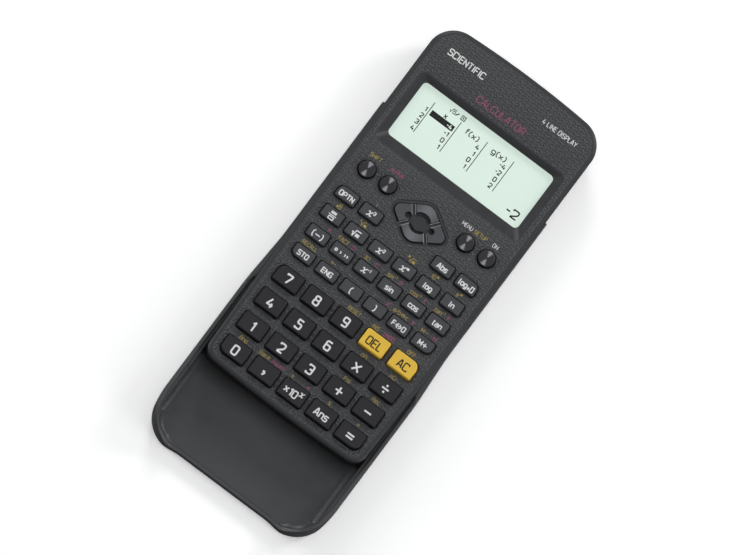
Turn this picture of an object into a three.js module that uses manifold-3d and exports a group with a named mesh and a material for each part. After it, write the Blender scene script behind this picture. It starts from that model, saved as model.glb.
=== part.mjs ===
// Scientific calculator lying in its slide-on hard case, drawn part-way out of it.
// Millimetres. +X is to the right of the keyboard, +Y points to the display end, +Z is up.
// The origin is on the underside of the slide cover, below the middle of the calculator.
import * as THREE from 'three';
import { mergeVertices } from 'three/addons/utils/BufferGeometryUtils.js';
import Module from 'manifold-3d';

const wasm = await Module();
wasm.setup();

// Steps in an arc, for each radian and each root of a millimetre of its radius
const ARC_DETAIL = 0.9;
const LEAST_ROUND = 0.6;

// Calculator body
const HALF_WIDTH = 38.5;
const LOW_END_HALF_WIDTH = 37.3;
// Each end bows out: "y" is its middle, "sag" how far its corners lie behind that, "bow" the radius of the
// curve, and "crest" how far the tangents from the corners meet beyond it
const TOP_END = { y: 83.55, sag: 1.6, crest: 0.85, bow: 400, corner: 11.5 };
const LOW_END = { y: -82.65, sag: 1.1, crest: 0.35, bow: 700, corner: 6 };
const TAPER_START_Y = -10;
const TAPER_ROUND = 300;
const UNDERSIDE = 2.0;
const FACE = 15.8;
const SPLIT = 9.6;
const SHOULDER = 8.0;
const FRONT_WALL = 1.8;
const SIDE_WALL = 1.6;
const REAR_WALL = 1.5;
const REAR_INSET = 1.3;
const NECK_INSET = 2.5;
const NECK_TOP = 10.8;
const EDGE_ROUND = 1.3;
const LOWER_EDGE_ROUND = 3;
const SCREW_PLACES = [[-30, 54], [30, 54], [-31, -8], [31, -8], [-28, -73], [28, -73]];
const SCREW_BOSS_RADIUS = 2.8;
const SCREW_WELL = { radius: 2.2, depth: 1 };
// How far a cutting block reaches, beyond every part
const BEYOND = 140;

// Slide cover
const COVER_FLOOR = 1.5;
const COVER_HALF_WIDTH = 39.3;
const COVER_LOW_HALF_WIDTH = 40.6;
const COVER_INNER = 37.6;
const COVER_RIM_INNER = 38.9;
const COVER_TOP_Y = 44.7;
const COVER_END_Y = -116.45;
const COVER_LOBE = 0.85;
const COVER_ROUND = 1.6;
const COVER_END_WALL = 1.7;
const COVER_RIM_END_WALL = 1.2;
const COVER_INNER_CORNER = 10.5;
const COVER_RIM_CORNER = 11.5;
const RAIL_TOP = 9.3;
const RIM_TOP = 12;
const LIP_TOP = 4.2;
const LIP_HALF_WIDTH = 24;
const LIP_START_Y = -100;
const FLARE_START_Y = -24;
const FLARE_END_Y = -46;
const RIB_INNER = 36.3;
const RIB_BOTTOM = 8.3;
const RIB_SETBACK = 1.5;

// Display
const WINDOW = { x: 0, y: 45, width: 62, length: 25.6 };
const RECESS = { x: 0, y: 43.95, width: 68.2, length: 32.3 };
const WINDOW_TOP = 13.8;
const WINDOW_THICK = 0.9;
const LCD_TOP = 12.7;
const LCD_THICK = 2.3;

// Keys
const KEY_GAP = 0.3;
const FLANGE_TOP = 13.8;
const FLANGE_THICK = 0.7;
const FLANGE_REACH = 0.6;
const NUMBER_KEY = { width: 11, length: 7.6, top: FACE + 1.6, corner: 0.8, big: 3, soft: 0.45 };
const FUNCTION_KEY = { width: 8.9, length: 5.2, top: FACE + 1.2, corner: 0.8, big: 2.6, soft: 0.4 };
const NUMBER_PITCH = { x: 13.73, y: 11.7 };
const NUMBER_TOP_Y = -38.2;
const FUNCTION_PITCH = { x: 11.44, y: 9.65 };
const FUNCTION_TOP_Y = 2.17;
const ROUND_KEY_RADIUS = 3.4;
const ROUND_KEY_Y = 15.35;
const ROUND_KEYS = { key_shift: -28.6, key_alpha: -18.55, key_menu: 18.55, key_on: 28.6 };

// Cursor pad: a rounded rhombus round a fixed hub, cut into four keys by four spokes. The spokes run at
// SPOKE_ANGLE from the pad's long axis and meet it SPOKE_FOOT from its middle.
const PAD_Y = 10.8;
const PAD = { x: 16.1, y: 10.75, sideRound: 3.9, endRound: 6.4 };
const PAD_RIM = 1.2;
const HUB = { x: 6.1, y: 3.3, sideRound: 1.7, endRound: 2.2 };
const HUB_SPACE = { radius: 4.4, notchX: 5.5, notchRadius: 1.3 };
const SPOKE_ANGLE = THREE.MathUtils.degToRad(52);
const SPOKE_FOOT = 2.5;
const SPOKE_WIDTH = 1.5;
const CURSOR_KEY_TOP = FACE + 0.3;
const CURSOR_DOME = { x: 9, y: 6 };

// Inside
const MAT = { bottom: 9.7, top: 10.5, domeTop: 12, domeRadius: 2.4, halfWidth: 32.3, low: -76.3, high: 22 };
const BOARD = { bottom: 8.4, top: 9.4, halfWidth: 32.3, low: -76.3, high: 63 };
const BOARD_OPENING = { halfWidth: 31, halfLength: 8 };
const CHIP = { y: -20, radius: 8, lowRadius: 7, drop: 1.2 };
const CELL = { radius: 5.25, length: 44.5, y: 71, bottom: 3.35, nubRadius: 1.9, nubLength: 0.9 };
const CONTACT = { gap: 0.3, thick: 0.4, top: 13, foot: 2, reach: 4 };
const BAY = { halfWidth: 27, low: 57, high: 79, top: 6 };
const BATTERY_COVER = { width: 52, length: 20, y: 68, thick: 1.2, corner: 2 };
const COVER_SCREW = { y: 60.6, headRadius: 2, headTop: 2.7, shankRadius: 0.8, tip: 7 };

const material = {
  grained: new THREE.MeshStandardMaterial({ color: 0x3f4043, roughness: 0.62, metalness: 0 }),
  smooth: new THREE.MeshStandardMaterial({ color: 0x2f3032, roughness: 0.5, metalness: 0 }),
  cover: new THREE.MeshStandardMaterial({ color: 0x38393b, roughness: 0.45, metalness: 0 }),
  window: new THREE.MeshStandardMaterial({ color: 0xdfeee6, roughness: 0.08, metalness: 0 }),
  lcd: new THREE.MeshStandardMaterial({ color: 0xd5e6dc, roughness: 0.3, metalness: 0 }),
  numberKey: new THREE.MeshStandardMaterial({ color: 0x2a2a2d, roughness: 0.42, metalness: 0 }),
  functionKey: new THREE.MeshStandardMaterial({ color: 0x3c3e42, roughness: 0.42, metalness: 0 }),
  yellowKey: new THREE.MeshStandardMaterial({ color: 0xdfb336, roughness: 0.42, metalness: 0 }),
  roundKey: new THREE.MeshStandardMaterial({ color: 0x55565a, roughness: 0.32, metalness: 0.6 }),
  cursorKey: new THREE.MeshStandardMaterial({ color: 0x5b5c60, roughness: 0.38, metalness: 0.3 }),
  rubber: new THREE.MeshStandardMaterial({ color: 0x9a9ca0, roughness: 0.8, metalness: 0 }),
  board: new THREE.MeshStandardMaterial({ color: 0x2c5a3a, roughness: 0.5, metalness: 0 }),
  cell: new THREE.MeshStandardMaterial({ color: 0xb9b9b4, roughness: 0.3, metalness: 0.9 }),
  steel: new THREE.MeshStandardMaterial({ color: 0x8d8f92, roughness: 0.35, metalness: 1 }),
};

function toSolid(geometry) {
  const bare = geometry.clone();
  bare.deleteAttribute('normal');
  bare.deleteAttribute('uv');
  const merged = mergeVertices(bare);
  const vertProperties = new Float32Array(merged.attributes.position.array);
  const triVerts = new Uint32Array(merged.index.array);
  return new wasm.Manifold(new wasm.Mesh({ numProp: 3, vertProperties, triVerts }));
}

function toGeometry(solid) {
  const mesh = solid.getMesh();
  const geometry = new THREE.BufferGeometry();
  geometry.setAttribute('position', new THREE.BufferAttribute(new Float32Array(mesh.vertProperties), 3));
  geometry.setIndex(new THREE.BufferAttribute(new Uint32Array(mesh.triVerts), 1));
  geometry.computeVertexNormals();
  return geometry;
}

// A closed outline through [x, y, radius] corners, each one rounded by an arc of its radius, then moved
// inwards by "inset". A wider or longer arc is drawn with more steps.
function outline(corners, inset = 0) {
  const points = [];
  corners.forEach(([x, y, cornerRadius], i) => {
    const corner = new THREE.Vector2(x, y);
    const before = new THREE.Vector2(...corners.at(i - 1)).sub(corner).normalize();
    const after = new THREE.Vector2(...corners[(i + 1) % corners.length]).sub(corner).normalize();
    const inward = before.clone().add(after).normalize();
    const half = Math.acos(before.dot(after)) / 2;
    const side = before.cross(after) < 0 ? 1 : -1;
    corner.addScaledVector(inward, (side * inset) / Math.sin(half));
    const radius = Math.max(cornerRadius - side * inset, LEAST_ROUND);
    const start = corner.clone().addScaledVector(before, radius / Math.tan(half));
    const centre = corner.clone().addScaledVector(inward, radius / Math.sin(half));
    const turn = side * (Math.PI - 2 * half);
    const steps = Math.max(1, Math.round(Math.abs(turn) * Math.sqrt(radius) * ARC_DETAIL));
    for (let step = 0; step <= steps; step += 1) {
      points.push(start.clone().rotateAround(centre, (turn * step) / steps));
    }
  });
  return new THREE.Shape(points);
}

// A plain prism of an outline between two heights.
function prism(shape, low, high) {
  const options = { depth: high - low, bevelEnabled: false };
  return new THREE.ExtrudeGeometry(shape, options).translate(0, 0, low);
}

// A prism whose two rims are rounded over by "soft".
function softPrism(shape, low, high, soft, softSteps = 1) {
  const options = {
    depth: high - low - 2 * soft,
    bevelThickness: soft,
    bevelSize: soft,
    bevelOffset: -soft,
    bevelSegments: softSteps,
  };
  return new THREE.ExtrudeGeometry(shape, options).translate(0, 0, low + soft);
}

function block(lowX, highX, lowY, highY, low, high) {
  const box = new THREE.BoxGeometry(highX - lowX, highY - lowY, high - low);
  return toSolid(box.translate((lowX + highX) / 2, (lowY + highY) / 2, (low + high) / 2));
}

function upright(radius, x, y, low, high, sides = 12, topRadius = radius) {
  const cylinder = new THREE.CylinderGeometry(topRadius, radius, high - low, sides);
  return toSolid(cylinder.rotateX(Math.PI / 2).translate(x, y, (low + high) / 2));
}

function rectangle(width, length, radius, big = {}) {
  const x = width / 2;
  const y = length / 2;
  return outline([
    [x, -y, big.bottomRight ?? radius],
    [x, y, big.topRight ?? radius],
    [-x, y, big.topLeft ?? radius],
    [-x, -y, big.bottomLeft ?? radius],
  ]);
}

function rhombus({ x, y, sideRound, endRound }, inset = 0) {
  return outline([[x, 0, sideRound], [0, y, endRound], [-x, 0, sideRound], [0, -y, endRound]], inset);
}

// The same corners on the other side, in the order that carries on round the outline.
function mirrored(corners) {
  return corners.map(([x, y, radius]) => [-x, y, radius]).reverse();
}

// Plan outline of the calculator: slightly bowed ends, and sides that narrow towards the low end.
function bodyOutline(inset) {
  const right = [
    [LOW_END_HALF_WIDTH, LOW_END.y + LOW_END.sag, LOW_END.corner],
    [HALF_WIDTH, TAPER_START_Y, TAPER_ROUND],
    [HALF_WIDTH, TOP_END.y - TOP_END.sag, TOP_END.corner],
  ];
  const topMiddle = [0, TOP_END.y + TOP_END.crest, TOP_END.bow];
  const lowMiddle = [0, LOW_END.y - LOW_END.crest, LOW_END.bow];
  return outline([...right, topMiddle, ...mirrored(right), lowMiddle], inset);
}

function frontCase(keyHoles) {
  const shell = toSolid(softPrism(bodyOutline(0), SPLIT - EDGE_ROUND, FACE, EDGE_ROUND, 2))
    .subtract(block(-BEYOND, BEYOND, -BEYOND, BEYOND, 0, SPLIT));
  const hollow = toSolid(prism(bodyOutline(SIDE_WALL), SPLIT - 1, FACE - FRONT_WALL));
  let front = shell.subtract(hollow).subtract(displayFunnel());
  for (const hole of keyHoles) {
    front = front.subtract(hole);
  }
  return front;
}

// The funnel from the wide recess in the face down to the window's edge.
function displayFunnel() {
  const box = new THREE.BoxGeometry(2, 2, 1);
  const corner = box.attributes.position;
  for (let i = 0; i < corner.count; i += 1) {
    const level = corner.getZ(i) > 0 ? RECESS : WINDOW;
    const x = level.x + (corner.getX(i) * level.width) / 2;
    const y = level.y + (corner.getY(i) * level.length) / 2;
    corner.setXYZ(i, x, y, corner.getZ(i) > 0 ? FACE : FACE - FRONT_WALL);
  }
  const { x, y, width, length } = WINDOW;
  const through = block(x - width / 2, x + width / 2, y - length / 2, y + length / 2, FACE - 3, FACE - 1);
  const halfWidth = RECESS.width / 2;
  const low = RECESS.y - RECESS.length / 2;
  const mouth = block(-halfWidth, halfWidth, low, low + RECESS.length, FACE - 0.01, FACE + 1);
  return toSolid(box).add(through).add(mouth);
}

function rearCase() {
  const above = SHOULDER + LOWER_EDGE_ROUND;
  const lower = toSolid(softPrism(bodyOutline(REAR_INSET), UNDERSIDE, above, LOWER_EDGE_ROUND, 2))
    .subtract(block(-BEYOND, BEYOND, -BEYOND, BEYOND, SHOULDER, above + 1));
  const neck = toSolid(prism(bodyOutline(NECK_INSET), SHOULDER - 1, NECK_TOP));
  const hollow = toSolid(prism(bodyOutline(NECK_INSET + REAR_WALL), UNDERSIDE + REAR_WALL, NECK_TOP + 1));
  let rear = lower.add(neck).subtract(hollow);
  for (const [x, y] of SCREW_PLACES) {
    const wellTop = UNDERSIDE + SCREW_WELL.depth;
    rear = rear.add(upright(SCREW_BOSS_RADIUS, x, y, wellTop, BOARD.bottom - 0.3, 6));
    rear = rear.subtract(upright(SCREW_WELL.radius, x, y, UNDERSIDE - 1, wellTop, 8));
  }
  const { halfWidth, low, high, top } = BAY;
  const recessWidth = BATTERY_COVER.width + 2 * KEY_GAP;
  const recessLength = BATTERY_COVER.length + 2 * KEY_GAP;
  const recess = rectangle(recessWidth, recessLength, BATTERY_COVER.corner);
  const recessTop = UNDERSIDE + BATTERY_COVER.thick + 0.1;
  const pocketX = CELL.length / 2 + CONTACT.gap + CONTACT.thick + 0.6;
  const pocketY = CELL.radius + 0.5;
  return rear
    .add(block(-halfWidth, halfWidth, low, high, UNDERSIDE + 0.5, top))
    .subtract(toSolid(prism(recess, UNDERSIDE - 1, recessTop)).translate([0, BATTERY_COVER.y, 0]))
    .subtract(block(-pocketX, pocketX, CELL.y - pocketY, CELL.y + pocketY, UNDERSIDE, top + 1))
    .subtract(upright(COVER_SCREW.shankRadius + 0.3, 0, COVER_SCREW.y, UNDERSIDE, top + 1));
}

function batteryCover() {
  const { width, length, thick, corner, y } = BATTERY_COVER;
  const { headRadius, headTop, shankRadius } = COVER_SCREW;
  return toSolid(prism(rectangle(width, length, corner), UNDERSIDE, UNDERSIDE + thick))
    .translate([0, y, 0])
    .subtract(upright(headRadius + 0.3, 0, COVER_SCREW.y, UNDERSIDE - 1, headTop + 0.1))
    .subtract(upright(shankRadius + 0.3, 0, COVER_SCREW.y, UNDERSIDE, UNDERSIDE + 2));
}

function batteryCoverScrew() {
  const { headRadius, headTop, shankRadius, tip, y } = COVER_SCREW;
  const bottom = UNDERSIDE + 0.1;
  const slot = (halfX, halfY) => block(-halfX, halfX, y - halfY, y + halfY, 0, bottom + 0.3);
  return upright(headRadius, 0, y, bottom, headTop)
    .add(upright(shankRadius, 0, y, headTop - 0.2, tip))
    .subtract(slot(1.3, 0.3))
    .subtract(slot(0.3, 1.3));
}

function batteryCell() {
  const { radius, length, nubRadius, nubLength } = CELL;
  const profile = [
    [0, 0],
    [radius - 0.4, 0],
    [radius, 0.4],
    [radius, length - nubLength],
    [nubRadius, length - nubLength],
    [nubRadius, length],
    [0, length],
  ].map(([r, y]) => new THREE.Vector2(r, y));
  return new THREE.LatheGeometry(profile, 16).rotateZ(-Math.PI / 2).translate(-length / 2, 0, 0);
}

// The board, with the chip under its blob of resin and the two cell contacts soldered to its top edge.
function mainBoard() {
  const { bottom, top, halfWidth, low, high } = BOARD;
  const tabInner = CELL.length / 2 + CONTACT.gap;
  const tabOuter = tabInner + CONTACT.thick;
  const contactLow = high - CONTACT.foot;
  const contactHigh = CELL.y + CONTACT.reach;
  const contact = (from, to) => block(from, to, contactLow, contactHigh, BAY.top + 0.4, CONTACT.top);
  const opening = BOARD_OPENING.halfLength;
  const chip = upright(CHIP.lowRadius, 0, CHIP.y, bottom - CHIP.drop, bottom + 0.5, 12, CHIP.radius);
  return block(-halfWidth, halfWidth, low, high, bottom, top)
    .subtract(
      block(
        -BOARD_OPENING.halfWidth,
        BOARD_OPENING.halfWidth,
        WINDOW.y - opening,
        WINDOW.y + opening,
        bottom - 1,
        top + 1,
      ),
    )
    .add(chip)
    .add(contact(tabInner, tabOuter))
    .add(contact(-tabOuter, -tabInner));
}

function keyMat(places) {
  const { bottom, top, domeTop, domeRadius, halfWidth, low, high } = MAT;
  let mat = block(-halfWidth, halfWidth, low, high, bottom, top);
  for (const [x, y] of places) {
    mat = mat.add(upright(domeRadius, x, y, top - 0.3, domeTop, 6, domeRadius - 0.8));
  }
  return mat;
}

// Two glass plates, the rear one longer at the low end, where its connections are.
function lcdPanel() {
  const { x, y, width, length } = WINDOW;
  const low = y - length / 2 - 2;
  const high = y + length / 2 + 1.5;
  const middle = LCD_TOP - LCD_THICK / 2;
  return block(x - width / 2 - 2, x + width / 2 + 2, low, high, middle, LCD_TOP)
    .add(block(x - width / 2 - 2, x + width / 2 + 2, low - 2, high, LCD_TOP - LCD_THICK, middle));
}

function displayWindow() {
  const plate = rectangle(WINDOW.width + 4, WINDOW.length + 4, 1.5);
  return prism(plate, WINDOW_TOP - WINDOW_THICK, WINDOW_TOP).translate(WINDOW.x, WINDOW.y, 0);
}

// Plan outline of the slide cover. The end stands out a little beside the middle, for a thumb.
function coverOutline() {
  const right = [
    [21.3, COVER_END_Y, 6],
    [28.2, COVER_END_Y - COVER_LOBE, 8.4],
    [38.4, COVER_END_Y + 3, 14],
    [COVER_LOW_HALF_WIDTH, COVER_END_Y + 15.8, 50],
    [COVER_LOW_HALF_WIDTH, FLARE_END_Y, 120],
    [COVER_HALF_WIDTH, FLARE_START_Y, 120],
    [COVER_HALF_WIDTH, COVER_TOP_Y, 3],
  ];
  return outline([...right, ...mirrored(right)]);
}

// The space inside the cover, open at the display end.
function coverHollow(halfWidth, wall, corner) {
  const beyond = COVER_TOP_Y + 20;
  return outline([
    [halfWidth, COVER_END_Y + wall, corner],
    [halfWidth, beyond, 4],
    [-halfWidth, beyond, 4],
    [-halfWidth, COVER_END_Y + wall, corner],
  ]);
}

// A profile in the plane across (x, z), drawn along Y from low to high.
function acrossBar(points, low, high) {
  const shape = new THREE.Shape(points.map(([x, z]) => new THREE.Vector2(x, z)));
  const options = { depth: high - low, bevelEnabled: false };
  return toSolid(new THREE.ExtrudeGeometry(shape, options).rotateX(Math.PI / 2).translate(0, high, 0));
}

// A profile in the plane along (y, z), drawn across X from one side to the other.
function alongBar(points, low, high) {
  const shape = new THREE.Shape(points.map(([y, z]) => new THREE.Vector2(y, z)));
  const options = { depth: high - low, bevelEnabled: false };
  const bar = new THREE.ExtrudeGeometry(shape, options);
  return toSolid(bar.rotateX(Math.PI / 2).rotateZ(Math.PI / 2).translate(low, 0, 0));
}

function slideCover() {
  const above = RIM_TOP + 2;
  const outer = toSolid(softPrism(coverOutline(), 0, RIM_TOP + COVER_ROUND, COVER_ROUND, 2))
    .subtract(block(-BEYOND, BEYOND, -BEYOND, BEYOND, RIM_TOP, above));
  const space = coverHollow(COVER_INNER, COVER_END_WALL, COVER_INNER_CORNER);
  const hollow = toSolid(softPrism(space, COVER_FLOOR, above + LOWER_EDGE_ROUND, LOWER_EDGE_ROUND, 2));
  const rimSpace = coverHollow(COVER_RIM_INNER, COVER_RIM_END_WALL, COVER_RIM_CORNER);
  const rimHollow = toSolid(prism(rimSpace, RAIL_TOP, above));
  const railSide = [[FLARE_END_Y - 4, above], [FLARE_END_Y, RAIL_TOP], [BEYOND, RAIL_TOP], [BEYOND, above]];
  const aboveRails = alongBar(railSide, -BEYOND, BEYOND);
  const lipSide = [
    [-LIP_HALF_WIDTH, LIP_TOP],
    [LIP_HALF_WIDTH, LIP_TOP],
    [COVER_RIM_INNER, above],
    [-COVER_RIM_INNER, above],
  ];
  const aboveLip = acrossBar(lipSide, -BEYOND, LIP_START_Y);
  const rib = (from, to) => block(from, to, FLARE_END_Y, COVER_TOP_Y - RIB_SETBACK, RIB_BOTTOM, RAIL_TOP);
  return outer
    .subtract(hollow)
    .subtract(rimHollow)
    .subtract(aboveRails)
    .subtract(aboveLip)
    .add(rib(RIB_INNER, COVER_INNER + 0.5))
    .add(rib(-COVER_INNER - 0.5, -RIB_INNER));
}

// A key cap on the wider flange that holds it under the face.
function capAndFlange({ width, length, top, corner, soft }, bigCorners = {}) {
  const cap = softPrism(rectangle(width, length, corner, bigCorners), FLANGE_TOP - soft - 0.1, top, soft);
  const x = width / 2 + FLANGE_REACH;
  const y = length / 2 + FLANGE_REACH;
  return toSolid(cap).add(block(-x, x, -y, y, FLANGE_TOP - FLANGE_THICK, FLANGE_TOP));
}

function capHole({ width, length, corner }, bigCorners = {}) {
  const wide = rectangle(width + 2 * KEY_GAP, length + 2 * KEY_GAP, corner, bigCorners);
  return toSolid(prism(wide, FACE - FRONT_WALL - 1, FACE + 1));
}

function roundKey() {
  const profile = [
    [0, FLANGE_TOP - FLANGE_THICK],
    [ROUND_KEY_RADIUS + FLANGE_REACH, FLANGE_TOP - FLANGE_THICK],
    [ROUND_KEY_RADIUS + FLANGE_REACH, FLANGE_TOP],
    [ROUND_KEY_RADIUS, FLANGE_TOP],
    [ROUND_KEY_RADIUS, FACE + 0.8],
    [ROUND_KEY_RADIUS - 0.4, FACE + 1.2],
    [0, FACE + 1.2],
  ].map(([r, z]) => new THREE.Vector2(r, z));
  return toSolid(new THREE.LatheGeometry(profile, 16).rotateX(Math.PI / 2));
}

// The wedge between two neighbouring spokes, kept clear of their middle lines by "clear".
function padWedge(direction, clear) {
  const sideways = direction % Math.PI === 0;
  const half = sideways ? SPOKE_ANGLE : Math.PI / 2 - SPOKE_ANGLE;
  const middle = sideways ? SPOKE_FOOT : -SPOKE_FOOT * Math.tan(SPOKE_ANGLE);
  const reach = 30;
  const start = middle + clear / Math.sin(half);
  const wedge = new THREE.Shape([
    new THREE.Vector2(start, 0),
    new THREE.Vector2(start + reach * Math.cos(half), -reach * Math.sin(half)),
    new THREE.Vector2(start + reach * Math.cos(half), reach * Math.sin(half)),
  ]);
  return toSolid(prism(wedge, 0, FACE + 5).rotateZ(direction));
}

// The room that the keys leave round the hub: a disc with a half-moon notch at each side.
function hubSpace() {
  const { radius, notchX, notchRadius } = HUB_SPACE;
  const disc = (size, x) => upright(size, x, 0, FLANGE_TOP - 3, FACE + 3, 20);
  return disc(radius, 0).add(disc(notchRadius, notchX)).add(disc(notchRadius, -notchX));
}

function cursorShape(direction, inset, clear, low, high) {
  return toSolid(prism(rhombus(PAD, inset), low, high)).intersect(padWedge(direction, clear));
}

function cursorKey(direction) {
  const clear = SPOKE_WIDTH / 2 + KEY_GAP;
  const flangeBottom = FLANGE_TOP - FLANGE_THICK;
  const flange = cursorShape(direction, PAD_RIM - FLANGE_REACH, clear, flangeBottom, FLANGE_TOP);
  const cap = cursorShape(direction, PAD_RIM + KEY_GAP, clear, FLANGE_TOP - 0.2, CURSOR_KEY_TOP);
  return cap.add(flange).subtract(hubSpace());
}

function cursorHole(direction) {
  const low = FACE - FRONT_WALL - 1;
  const hub = toSolid(prism(rhombus(HUB), low - 1, FACE + 2));
  const hole = cursorShape(direction, PAD_RIM, SPOKE_WIDTH / 2, low, FACE + 1).subtract(hub);
  return hole.translate([0, PAD_Y, 0]);
}

const CURSOR_KEYS = {
  cursor_right: 0,
  cursor_up: Math.PI / 2,
  cursor_left: Math.PI,
  cursor_down: (3 * Math.PI) / 2,
};

const FUNCTION_ROWS = [
  ['key_option', 'key_cube', null, null, 'key_absolute', 'key_log_base'],
  ['key_fraction', 'key_square_root', 'key_square', 'key_power', 'key_log', 'key_ln'],
  ['key_negative', 'key_degrees', 'key_reciprocal', 'key_sin', 'key_cos', 'key_tan'],
  [
    'key_store',
    'key_eng',
    'key_open_bracket',
    'key_close_bracket',
    'key_fraction_decimal',
    'key_memory_plus',
  ],
];

const NUMBER_ROWS = [
  ['key_7', 'key_8', 'key_9', 'key_delete', 'key_all_clear'],
  ['key_4', 'key_5', 'key_6', 'key_multiply', 'key_divide'],
  ['key_1', 'key_2', 'key_3', 'key_plus', 'key_minus'],
  ['key_0', 'key_comma', 'key_exponent', 'key_answer', 'key_equals'],
];

// The four outermost keys of each block carry one wide corner.
function wideCorner(row, column, rowNames, rowCount, radius) {
  const side = { 0: 'Left', [rowNames.length - 1]: 'Right' }[column];
  const end = { 0: 'top', [rowCount - 1]: 'bottom' }[row];
  return side && end ? { [end + side]: radius } : {};
}

// Every rectangular key: its name, place, size and wide corner.
function blockKeys(rows, pitch, topY, size, finish) {
  const keys = [];
  rows.forEach((names, row) => {
    names.forEach((name, column) => {
      const x = (column - (names.length - 1) / 2) * pitch.x;
      const y = topY - row * pitch.y;
      const wide = wideCorner(row, column, names, rows.length, size.big);
      if (name) {
        keys.push({ name, x, y, solid: capAndFlange(size, wide), hole: capHole(size, wide), finish });
      }
    });
  });
  return keys;
}

function allKeys() {
  const keys = [
    ...blockKeys(FUNCTION_ROWS, FUNCTION_PITCH, FUNCTION_TOP_Y, FUNCTION_KEY, material.functionKey),
    ...blockKeys(NUMBER_ROWS, NUMBER_PITCH, NUMBER_TOP_Y, NUMBER_KEY, material.numberKey),
  ];
  for (const key of keys) {
    key.hole = key.hole.translate([key.x, key.y, 0]);
    if (key.name === 'key_delete' || key.name === 'key_all_clear') {
      key.finish = material.yellowKey;
    }
  }
  for (const [name, x] of Object.entries(ROUND_KEYS)) {
    const hole = upright(ROUND_KEY_RADIUS + KEY_GAP, x, ROUND_KEY_Y, FACE - FRONT_WALL - 1, FACE + 1, 16);
    keys.push({ name, x, y: ROUND_KEY_Y, solid: roundKey(), hole, finish: material.roundKey });
  }
  for (const [name, direction] of Object.entries(CURSOR_KEYS)) {
    const solid = cursorKey(direction);
    keys.push({ name, x: 0, y: PAD_Y, solid, hole: cursorHole(direction), finish: material.cursorKey });
  }
  return keys;
}

function named(name, geometry, finish) {
  const mesh = new THREE.Mesh(geometry, finish);
  mesh.name = name;
  return mesh;
}

const keys = allKeys();
const domePlaces = keys.map(({ name, x, y }) => {
  const direction = CURSOR_KEYS[name];
  if (direction === undefined) {
    return [x, y];
  }
  return [x + CURSOR_DOME.x * Math.cos(direction), y + CURSOR_DOME.y * Math.sin(direction)];
});

const calculator = new THREE.Group();
calculator.add(
  named('front_case', toGeometry(frontCase(keys.map((key) => key.hole))), material.grained),
  named('rear_case', toGeometry(rearCase()), material.smooth),
  named('display_window', displayWindow(), material.window),
  named('lcd_panel', toGeometry(lcdPanel()), material.lcd),
  named('key_mat', toGeometry(keyMat(domePlaces)), material.rubber),
  named('main_board', toGeometry(mainBoard()), material.board),
  named('battery_cover', toGeometry(batteryCover()), material.smooth),
  named('battery_cover_screw', toGeometry(batteryCoverScrew()), material.steel),
);

const cell = named('battery_cell', batteryCell(), material.cell);
cell.position.set(0, CELL.y, CELL.bottom + CELL.radius);
calculator.add(cell);

for (const key of keys) {
  const mesh = named(key.name, toGeometry(key.solid), key.finish);
  mesh.position.set(key.x, key.y, 0);
  calculator.add(mesh);
}

const object = new THREE.Group();
object.add(calculator, named('slide_cover', toGeometry(slideCover()), material.cover));

export default object;
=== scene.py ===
"""A scientific calculator drawn part-way out of its slide-on hard case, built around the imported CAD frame.

Lengths are millimetres up to the moment a mesh is made, when they become metres. The frame is the CAD part's:
+X to the right of the keyboard, +Y to the display end, +Z up, origin on the underside of the slide cover.
"""

import math

import bpy
from mathutils import Matrix, Vector


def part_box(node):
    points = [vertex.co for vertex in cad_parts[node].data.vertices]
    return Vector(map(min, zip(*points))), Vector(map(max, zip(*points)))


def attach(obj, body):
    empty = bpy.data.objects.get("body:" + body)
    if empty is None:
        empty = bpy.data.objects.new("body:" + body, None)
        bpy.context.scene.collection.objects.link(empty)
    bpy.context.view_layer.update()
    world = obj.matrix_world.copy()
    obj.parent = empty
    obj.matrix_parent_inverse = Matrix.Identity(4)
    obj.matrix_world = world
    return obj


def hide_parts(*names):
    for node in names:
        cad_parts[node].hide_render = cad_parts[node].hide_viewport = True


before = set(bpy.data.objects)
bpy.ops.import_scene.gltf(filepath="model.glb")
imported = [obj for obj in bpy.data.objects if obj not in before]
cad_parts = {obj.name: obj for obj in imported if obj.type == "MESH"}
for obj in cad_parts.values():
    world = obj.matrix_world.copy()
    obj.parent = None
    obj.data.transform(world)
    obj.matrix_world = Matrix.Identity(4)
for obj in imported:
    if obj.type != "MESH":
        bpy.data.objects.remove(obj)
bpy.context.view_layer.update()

MM = 0.001
BODY = "calculator"


def cad_box(node):
    """A CAD node's (low x, low y, low z, high x, high y, high z) in millimetres."""
    low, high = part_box(node)
    return [value / MM for value in (*low, *high)]


# ---------------------------------------------------------------- driving dimensions
FRONT = cad_box("front_case")
REAR = cad_box("rear_case")
COVER = cad_box("slide_cover")
FACE = FRONT[5]
SPLIT = FRONT[2]
TOP_END = FRONT[4]
LOW_END = FRONT[1]
HALF_WIDTH = FRONT[3]
LOW_END_HALF_WIDTH = HALF_WIDTH - 1.2
WALL_UNDER = FACE - 1.8
SMOOTH_EDGE = 1.9

UNDERSIDE = REAR[2]
SHOULDER = 8.0
REAR_INSET = 1.3
NECK_INSET = 2.5

KEY_GAP = 0.3
PAD_CENTRE_Y = (cad_box("cursor_up")[4] + cad_box("cursor_down")[1]) / 2


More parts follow.
